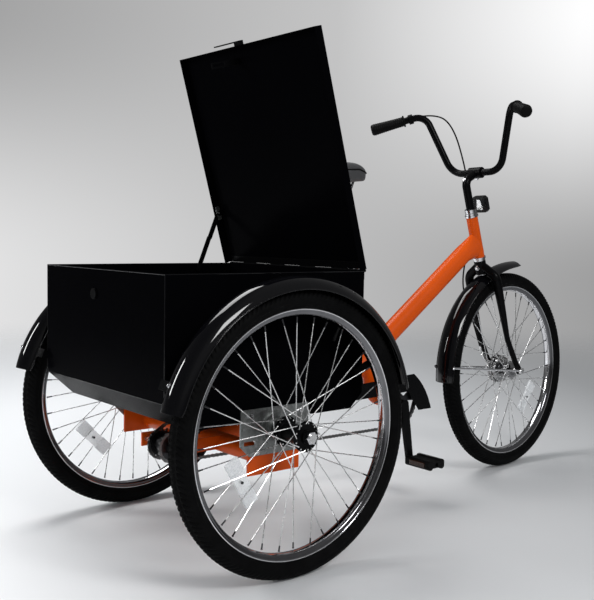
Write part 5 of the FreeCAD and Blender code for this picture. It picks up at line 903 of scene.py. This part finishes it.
def make_brake_wire():
    tip = top_of(corners_of("brake_arm", STEERED), ARM_END_BAND)
    end = middle_of(tip)
    end.y = max(spot.y for spot in tip) + WIRE_RADIUS * 2
    end.z -= BOLT_SMALL
    start = Vector(CABLE_ROUTE[-1])
    along = (end - start).normalized()
    form = bmesh.new()
    add_turned(form, facing(steered(start), STEERED.to_3x3() @ along), FERRULE, sides=16)
    add_bar(form, [steered(spot) for spot in (start, end, end + along * WIRE_SPARE)], WIRE_RADIUS)
    finish_piece("bare_brake_wire", form, "fork", "steel")
    bolt = bmesh.new()
    add_bolt(bolt, steered(end - LEFTWARD * WIRE_RADIUS * 2), STEERED_LEFT, BOLT_SMALL)
    finish_piece("wire_pinch_bolt", bolt, "brake_arm", "chrome")


# The lid stay's top, whose lug lies along the open lid.
STAY_END_BAND = 0.012
LID_UPWARD = Vector((-0.2756, 0.0, 0.9613))
LUG_WIDE, LUG_TALL, LUG_THICK, LUG_CORNER, LUG_GAP = 0.013, 0.040, 0.0018, 0.004, 0.0002


def make_stay_bolts():
    end = top_of(corners_of("stay_upper_arm"), STAY_END_BAND)
    spot = middle_of(end)
    spot.y = min(corner.y for corner in end)
    rivet, lug = bmesh.new(), bmesh.new()
    add_bolt(rivet, spot - LEFTWARD * LUG_THICK, -LEFTWARD, BOLT_SMALL)
    finish_piece("stay_rivet", rivet, "stay_upper", "chrome")
    outline = rounded_outline(LUG_WIDE, LUG_TALL, LUG_CORNER)
    add_plate(lug, facing(spot, -LEFTWARD, LID_UPWARD), outline, LUG_GAP, LUG_THICK)
    finish_piece("stay_lug", lug, "lid", "galvanised")


# The box's folded edges, a little glossier than its panels: round the rear one and along both sides.
FOLD_RADIUS, FOLD_OUT, FACE_BAND = 0.0012, 0.0004, 0.001


def make_box_folds():
    corners = corners_of("cargo_box")
    rear = min(spot.x for spot in corners)
    low, high = box_of([spot for spot in corners if spot.x < rear + FACE_BAND])
    ahead = max(spot.x for spot in corners if spot.z > high.z - FACE_BAND)
    back, top, foot = rear + FOLD_RADIUS - FOLD_OUT, high.z - FOLD_RADIUS, low.z
    right, left = low.y + FOLD_RADIUS - FOLD_OUT, high.y - FOLD_RADIUS + FOLD_OUT
    form = bmesh.new()
    for height in (top, foot):
        add_bar(form, [(back, right, height), (back, left, height)], FOLD_RADIUS, sides=10)
    for side in (right, left):
        add_bar(form, [(back, side, foot), (back, side, top)], FOLD_RADIUS, sides=10)
        add_bar(form, [(back, side, top), (ahead, side, top)], FOLD_RADIUS, sides=10)
    finish_piece("box_folds", form, "frame", "box_black", "fender_black")


# Grips: a flange, ribs that grow thicker outward, and a rounded end.
GRIP_INNER, GRIP_OUTER, GRIP_HOLE = 0.0152, 0.0186, 0.0115
GRIP_FLANGE = [(GRIP_HOLE, 0.0), (0.0192, 0.0), (0.0192, 0.0032), (GRIP_INNER + 0.001, 0.0052)]
GRIP_START, GRIP_END = 0.006, 0.008
GRIP_RIBS, RIB_STEPS, GRIP_RIB = 14, 4, 0.0009
GRIP_SWELL_POWER = 1.4
END_ANGLES, END_CORE_SHARE = (25, 50, 70, 85), 0.62
AXIS_ROUNDS = 12


def long_axis(spots):
    """The middle of a long body's corners and the direction it runs in."""
    middle = middle_of(spots)
    axis = (max(spots, key=lambda spot: (spot - middle).length) - middle).normalized()
    for _ in range(AXIS_ROUNDS):
        axis = sum(((spot - middle) * (spot - middle).dot(axis) for spot in spots), Vector()).normalized()
    return middle, axis


def grip_profile(length):
    count = GRIP_RIBS * RIB_STEPS
    end = length - GRIP_END
    profile = list(GRIP_FLANGE)
    for step in range(count + 1):
        share = step / count
        ripple = GRIP_RIB * (0.5 - 0.5 * math.cos(2 * math.pi * step / RIB_STEPS))
        radius = GRIP_INNER + (GRIP_OUTER - GRIP_INNER) * share ** GRIP_SWELL_POWER + ripple
        profile.append((radius, GRIP_START + (end - GRIP_START) * share))
    for degrees in END_ANGLES:
        angle = math.radians(degrees)
        share = END_CORE_SHARE + (1 - END_CORE_SHARE) * math.cos(angle)
        profile.append((GRIP_OUTER * share, end + GRIP_END * math.sin(angle)))
    return profile


def make_grips():
    form = bmesh.new()
    corners = corners_of("grips")
    inverse = STEERED.inverted()
    for side in (-1, 1):
        spots = [spot for spot in corners if (inverse @ spot).y * side > 0]
        middle, axis = long_axis(spots)
        if (inverse.to_3x3() @ axis).x > 0:
            axis = -axis
        reach = [(spot - middle).dot(axis) for spot in spots]
        start = facing(middle + axis * min(reach), axis)
        add_turned(form, start, grip_profile(max(reach) - min(reach)), sides=32)
    piece = finish_piece("ribbed_grips", form, "fork", "rubber", crease=50)
    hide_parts("grips")


# The front reflector's plate and lens, and the pedals' lenses.
BRACKET_WIDE, BRACKET_TALL, BRACKET_PLATE, BRACKET_TOP_SHARE = 0.024, 0.034, 0.0014, 0.5
LENS_RISE, LENS_WAFFLE = 0.0012, 0.0005
FRONT_LENS_SHARE, FRONT_PRISMS = 0.82, (12, 12)
PEDAL_LENS_SHARES, PEDAL_PRISMS = Vector((0.62, 0.52)), (14, 4)


def reflector_face(way, shift):
    """The front reflector's size, and a frame off its front, with a way of 1, or its rear, with -1."""
    low, high = box_of(corners_of("front_reflector", STEERED))
    spot = (low + high) / 2
    spot.x = (high.x if way > 0 else low.x) + shift
    return high - low, facing(steered(spot), STEERED_AHEAD * way, STEERED_UP)


def make_reflector_plate():
    """The pressed plate that holds the front reflector, on the rider's side."""
    _, place_in = reflector_face(-1, -BRACKET_PLATE)
    wide, tall = BRACKET_WIDE / 2, BRACKET_TALL / 2
    narrow = wide * BRACKET_TOP_SHARE
    outline = [(-wide, -tall), (wide, -tall), (narrow, tall), (-narrow, tall)]
    form = bmesh.new()
    add_plate(form, place_in, outline, -BRACKET_PLATE / 2, BRACKET_PLATE / 2)
    finish_piece("reflector_plate", form, "fork", "steel")


def make_front_lens():
    """The front reflector's clear lens, on the side away from the rider."""
    size, place_in = reflector_face(1, -LENS_RISE)
    form = bmesh.new()
    add_lens(form, place_in, size.yz * FRONT_LENS_SHARE, LENS_RISE * 2, FRONT_PRISMS, LENS_WAFFLE)
    finish_piece("front_lens", form, "fork", "black_plastic", "clear_lens", crease=12)


def make_pedal_lenses(name):
    """Amber reflectors in both edges of a pedal."""
    low, high = [Vector(corner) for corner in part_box(name)]
    middle = (low + high) / 2
    size = (high - low).yz * PEDAL_LENS_SHARES
    form = bmesh.new()
    for outward, edge in ((-AHEAD, low.x), (AHEAD, high.x)):
        spot = Vector((edge, middle.y, middle.z)) - outward * LENS_RISE
        add_lens(form, facing(spot, outward), size, LENS_RISE * 2, PEDAL_PRISMS, LENS_WAFFLE)
    finish_piece(name + "_lenses", form, name, "black_plastic", "amber_lens", crease=12)


# Saddle: a padded shell with drawn-in sides and a welt along its edge, hollow for the rails. A station
# is a share of the length from the nose, of the width and of the skirt. A ring's points are shares of
# the half width and of the depth.
SADDLE_NOSE = -0.0666
SADDLE_LENGTH, SADDLE_WIDTH, SADDLE_TOP = 0.262, 0.206, 1.002
SADDLE_RISE, SADDLE_SKIRT = 0.010, 0.074
SADDLE_STATIONS = [
    (0.045, 0.10, 0.20), (0.058, 0.18, 0.38), (0.095, 0.25, 0.58), (0.2, 0.30, 0.74), (0.35, 0.35, 0.81),
    (0.5, 0.46, 0.88), (0.62, 0.62, 0.94), (0.73, 0.81, 0.98), (0.84, 0.95, 1.0), (0.93, 0.96, 0.93),
    (0.98, 0.88, 0.84), (1.0, 0.80, 0.78),
]
SADDLE_RING = [
    (0.84, 1.0), (0.94, 0.86), (0.995, 0.6), (0.985, 0.38), (0.93, 0.2), (0.8, 0.085), (0.6, 0.035),
    (0.3, 0.006), (0.0, 0.012),
]
NOSE_DROOP, NOSE_SHARE = 0.040, 0.22
SADDLE_WALL, SADDLE_PAD = 0.006, 0.022
HOLLOW_WIDTH_SHARE, HOLLOW_DEPTH_SHARE = 0.55, 0.25
WELT_INDEX, WELT_RADIUS = 3, 0.0022


def mirrored(spots):
    """The same places on the rider's right."""
    return [Vector((spot.x, -spot.y, spot.z)) for spot in spots]


def saddle_ring(station, inner=False):
    """One section, from the left skirt over the top to the right skirt."""
    along, width, skirt = station
    x = SADDLE_NOSE - along * SADDLE_LENGTH
    droop = NOSE_DROOP * max(0.0, 1 - along / NOSE_SHARE) ** 2
    top = SADDLE_TOP - SADDLE_RISE * (math.cos(math.pi * (along - 0.5)) + 1 - along) - droop
    low = top - SADDLE_SKIRT * skirt
    half = SADDLE_WIDTH / 2 * width
    if inner:
        half = max(half - SADDLE_WALL, half * HOLLOW_WIDTH_SHARE)
        top = max(top - SADDLE_PAD, low + (top - low) * HOLLOW_DEPTH_SHARE)
    left = [Vector((x, half * wide, top + (low - top) * deep)) for wide, deep in SADDLE_RING]
    return left + mirrored(left[-2::-1])


def make_saddle():
    form = bmesh.new()
    outer = [[form.verts.new(spot) for spot in saddle_ring(station)] for station in SADDLE_STATIONS]
    inner = []
    shifts = [-SADDLE_WALL] + [0.0] * (len(SADDLE_STATIONS) - 2) + [SADDLE_WALL]
    for station, shift in zip(SADDLE_STATIONS, shifts):
        inner.append([form.verts.new(spot + AHEAD * shift) for spot in saddle_ring(station, True)])
    skin(form, outer, closed_rows=False)
    skin(form, inner, closed_rows=False)
    for edge in (0, -1):
        for i in range(len(outer) - 1):
            form.faces.new((outer[i][edge], outer[i + 1][edge], inner[i + 1][edge], inner[i][edge]))
    for outside, inside in ((outer[0], inner[0]), (outer[-1], inner[-1])):
        form.faces.new(outside)
        form.faces.new(inside)
        form.faces.new((outside[0], outside[-1], inside[-1], inside[0]))
    piece = finish_piece("saddle_pad", form, "seat", "saddle", crease=80)
    rounding = piece.modifiers.new("rounding", "SUBSURF")
    rounding.levels = 2
    rounding.render_levels = 2
    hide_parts("saddle_cover")
    welt = bmesh.new()
    left = [saddle_ring(station)[WELT_INDEX] for station in SADDLE_STATIONS[1:-1]]
    for line in (left, mirrored(left)):
        add_bar(welt, line, WELT_RADIUS)
    finish_piece("saddle_welt", welt, "seat", "rubber")


# The stage: a pale floor with painted shade that darkens it to the right of the picture, and that fades into
# the surround.
RIGHTWARD = (0.771, -0.637, 0.0)
FLOOR_RADIUS = 9.0
FLOOR_COLOUR, FLOOR_ROUGHNESS = (0.90, 0.90, 0.905), 0.55
# Painted shade: the floor's colour falls to the second tone towards the picture's right, over a spread on
# either side.
FLOOR_PAINTED_SHADE_TONES, FLOOR_PAINTED_SHADE_SPREAD = (1.0, 0.42), 1.3
FLOOR_GRAIN, FLOOR_STRENGTH, FLOOR_DEPTH = (300.0, 3.0), 0.02, 0.0002
FLOOR_FADE = (0.35, 0.8)


def rightness(tree, source, output, limit):
    """How far to the picture's right a place lies, from 0 to 1 within a limit on both sides."""
    across = add_node(tree, "ShaderNodeVectorMath", {1: RIGHTWARD}, operation="DOT_PRODUCT")
    join(tree, source, output, across, 0)
    return map_range(tree, across, "Value", (-limit, limit))


def make_floor():
    mesh = bpy.data.meshes.new("floor")
    form = bmesh.new()
    bmesh.ops.create_circle(form, cap_ends=True, segments=96, radius=FLOOR_RADIUS)
    form.to_mesh(mesh)
    form.free()
    floor = bpy.data.objects.new("floor", mesh)
    scene.collection.objects.link(floor)
    material, tree, shader = new_material("floor", FLOOR_COLOUR, FLOOR_ROUGHNESS)
    # Painted shade: the floor's colour darkens towards the picture's right.
    across = rightness(tree, place(tree), "Vector", FLOOR_PAINTED_SHADE_SPREAD)
    shade_between(tree, shader, across, "Result", FLOOR_COLOUR, FLOOR_PAINTED_SHADE_TONES, (0.0, 1.0))
    bumps(tree, shader, noise(tree, *FLOOR_GRAIN), "Fac", FLOOR_STRENGTH, FLOOR_DEPTH)
    far = add_node(tree, "ShaderNodeTexGradient", gradient_type="SPHERICAL")
    join(tree, place(tree, (1 / FLOOR_RADIUS,) * 3), "Vector", far, "Vector")
    fade = map_range(tree, far, "Fac", FLOOR_FADE, interpolation_type="SMOOTHSTEP")
    join(tree, fade, "Result", shader, "Alpha")
    mesh.materials.append(material)


# What the camera sees behind the object, painted light and shade on the backdrop: low and high bands, as
# places from left to right with a level, the low one lighter to the left and the high one lighter to the
# right.
LOW_BAND = [(0.34, 0.76), (0.5, 0.52), (0.66, 0.34)]
HIGH_BAND = [(0.34, 0.36), (0.52, 0.55), (0.64, 1.0)]
BAND_HEIGHTS = (-0.05, 0.235)
BAND_BLUE = 1.005
UNSEEN_COLOUR, UNSEEN_LIGHT = (0.9, 0.95, 1.0, 1.0), 0.55
MIRRORED_LIGHT = 0.2
# The numbers of a colour mix's sockets.
MIX_FIRST, MIX_SECOND, MIX_RESULT = 6, 7, 2


def band(tree, source, stops):
    ramp = add_node(tree, "ShaderNodeValToRGB")
    while len(ramp.color_ramp.elements) < len(stops):
        ramp.color_ramp.elements.new(0.5)
    for element, (position, level) in zip(ramp.color_ramp.elements, stops):
        element.position = position
        element.color = (level, level, level * BAND_BLUE, 1.0)
    join(tree, source, "Result", ramp, "Fac")
    return ramp


def choose(tree, path, ray, others, output, chosen):
    """One light for a kind of ray, and another for the rest."""
    mix = add_node(tree, "ShaderNodeMixShader")
    join(tree, path, ray, mix, "Fac")
    join(tree, others, output, mix, 1)
    join(tree, chosen, "Background", mix, 2)
    return mix


def make_surround():
    world = bpy.data.worlds.new("surround")
    scene.world = world
    world.use_nodes = True
    tree = world.node_tree
    coords = add_node(tree, "ShaderNodeTexCoord")
    aside = rightness(tree, coords, "Generated", 1.0)
    parts = add_node(tree, "ShaderNodeSeparateXYZ")
    join(tree, coords, "Generated", parts, "Vector")
    backdrop = add_node(tree, "ShaderNodeMix", data_type="RGBA")
    height = map_range(tree, parts, "Z", BAND_HEIGHTS, interpolation_type="SMOOTHSTEP")
    join(tree, height, "Result", backdrop, "Factor")
    # Painted light and shade on the backdrop: the low band is lighter to the left, the high band to the
    # right.
    join(tree, band(tree, aside, LOW_BAND), "Color", backdrop, MIX_FIRST)
    join(tree, band(tree, aside, HIGH_BAND), "Color", backdrop, MIX_SECOND)
    shown = tree.nodes["Background"]
    unseen = add_node(tree, "ShaderNodeBackground", {"Color": UNSEEN_COLOUR, "Strength": UNSEEN_LIGHT})
    mirrored_light = add_node(tree, "ShaderNodeBackground", {"Strength": MIRRORED_LIGHT})
    for light in (shown, mirrored_light):
        join(tree, backdrop, MIX_RESULT, light, "Color")
    path = add_node(tree, "ShaderNodeLightPath")
    unseen_or_mirrored = choose(tree, path, "Is Glossy Ray", unseen, "Background", mirrored_light)
    whole = choose(tree, path, "Is Camera Ray", unseen_or_mirrored, "Shader", shown)
    join(tree, whole, "Shader", tree.nodes["World Output"], "Surface")


# Soft lamps: name, place, aim, size and watts.
LAMPS = [
    ("key", (-0.6, -3.6, 2.9), (0, 0, 0.4), (1.4, 1.1), 84),
    ("left", (-3.6, 1.8, 2.2), (-0.4, 0, 0.4), (0.5, 1.4), 60),
    ("top", (-0.5, 1.3, 3.5), (-0.2, 0, 0.3), (2.2, 1.4), 66),
]


def make_lamp(name, spot, aim, size, watts):
    data = bpy.data.lights.new(name, "AREA")
    data.shape = "RECTANGLE"
    data.size, data.size_y = size
    data.energy = watts
    lamp = bpy.data.objects.new(name, data)
    lamp.location = spot
    lamp.rotation_euler = (Vector(aim) - Vector(spot)).to_track_quat("-Z", "Y").to_euler()
    scene.collection.objects.link(lamp)


make_camera()
make_cable()
dress_nodes()
for wheel in WHEELS:
    make_tyre(wheel)
    make_rim(wheel)
    make_spokes(wheel)
    make_valve(wheel)
    make_wheel_reflector(wheel)
for chain in CHAINS:
    make_chain(chain)
for fender in FENDERS:
    make_fender(fender)
make_frame_bolts()
make_fork_bolts()
make_front_stays()
make_brake_wire()
make_stay_bolts()
make_box_folds()
make_grips()
make_reflector_plate()
make_saddle()
make_front_lens()
for pedal in ("pedal_right", "pedal_left"):
    make_pedal_lenses(pedal)
make_floor()
make_surround()
for lamp_values in LAMPS:
    make_lamp(*lamp_values)
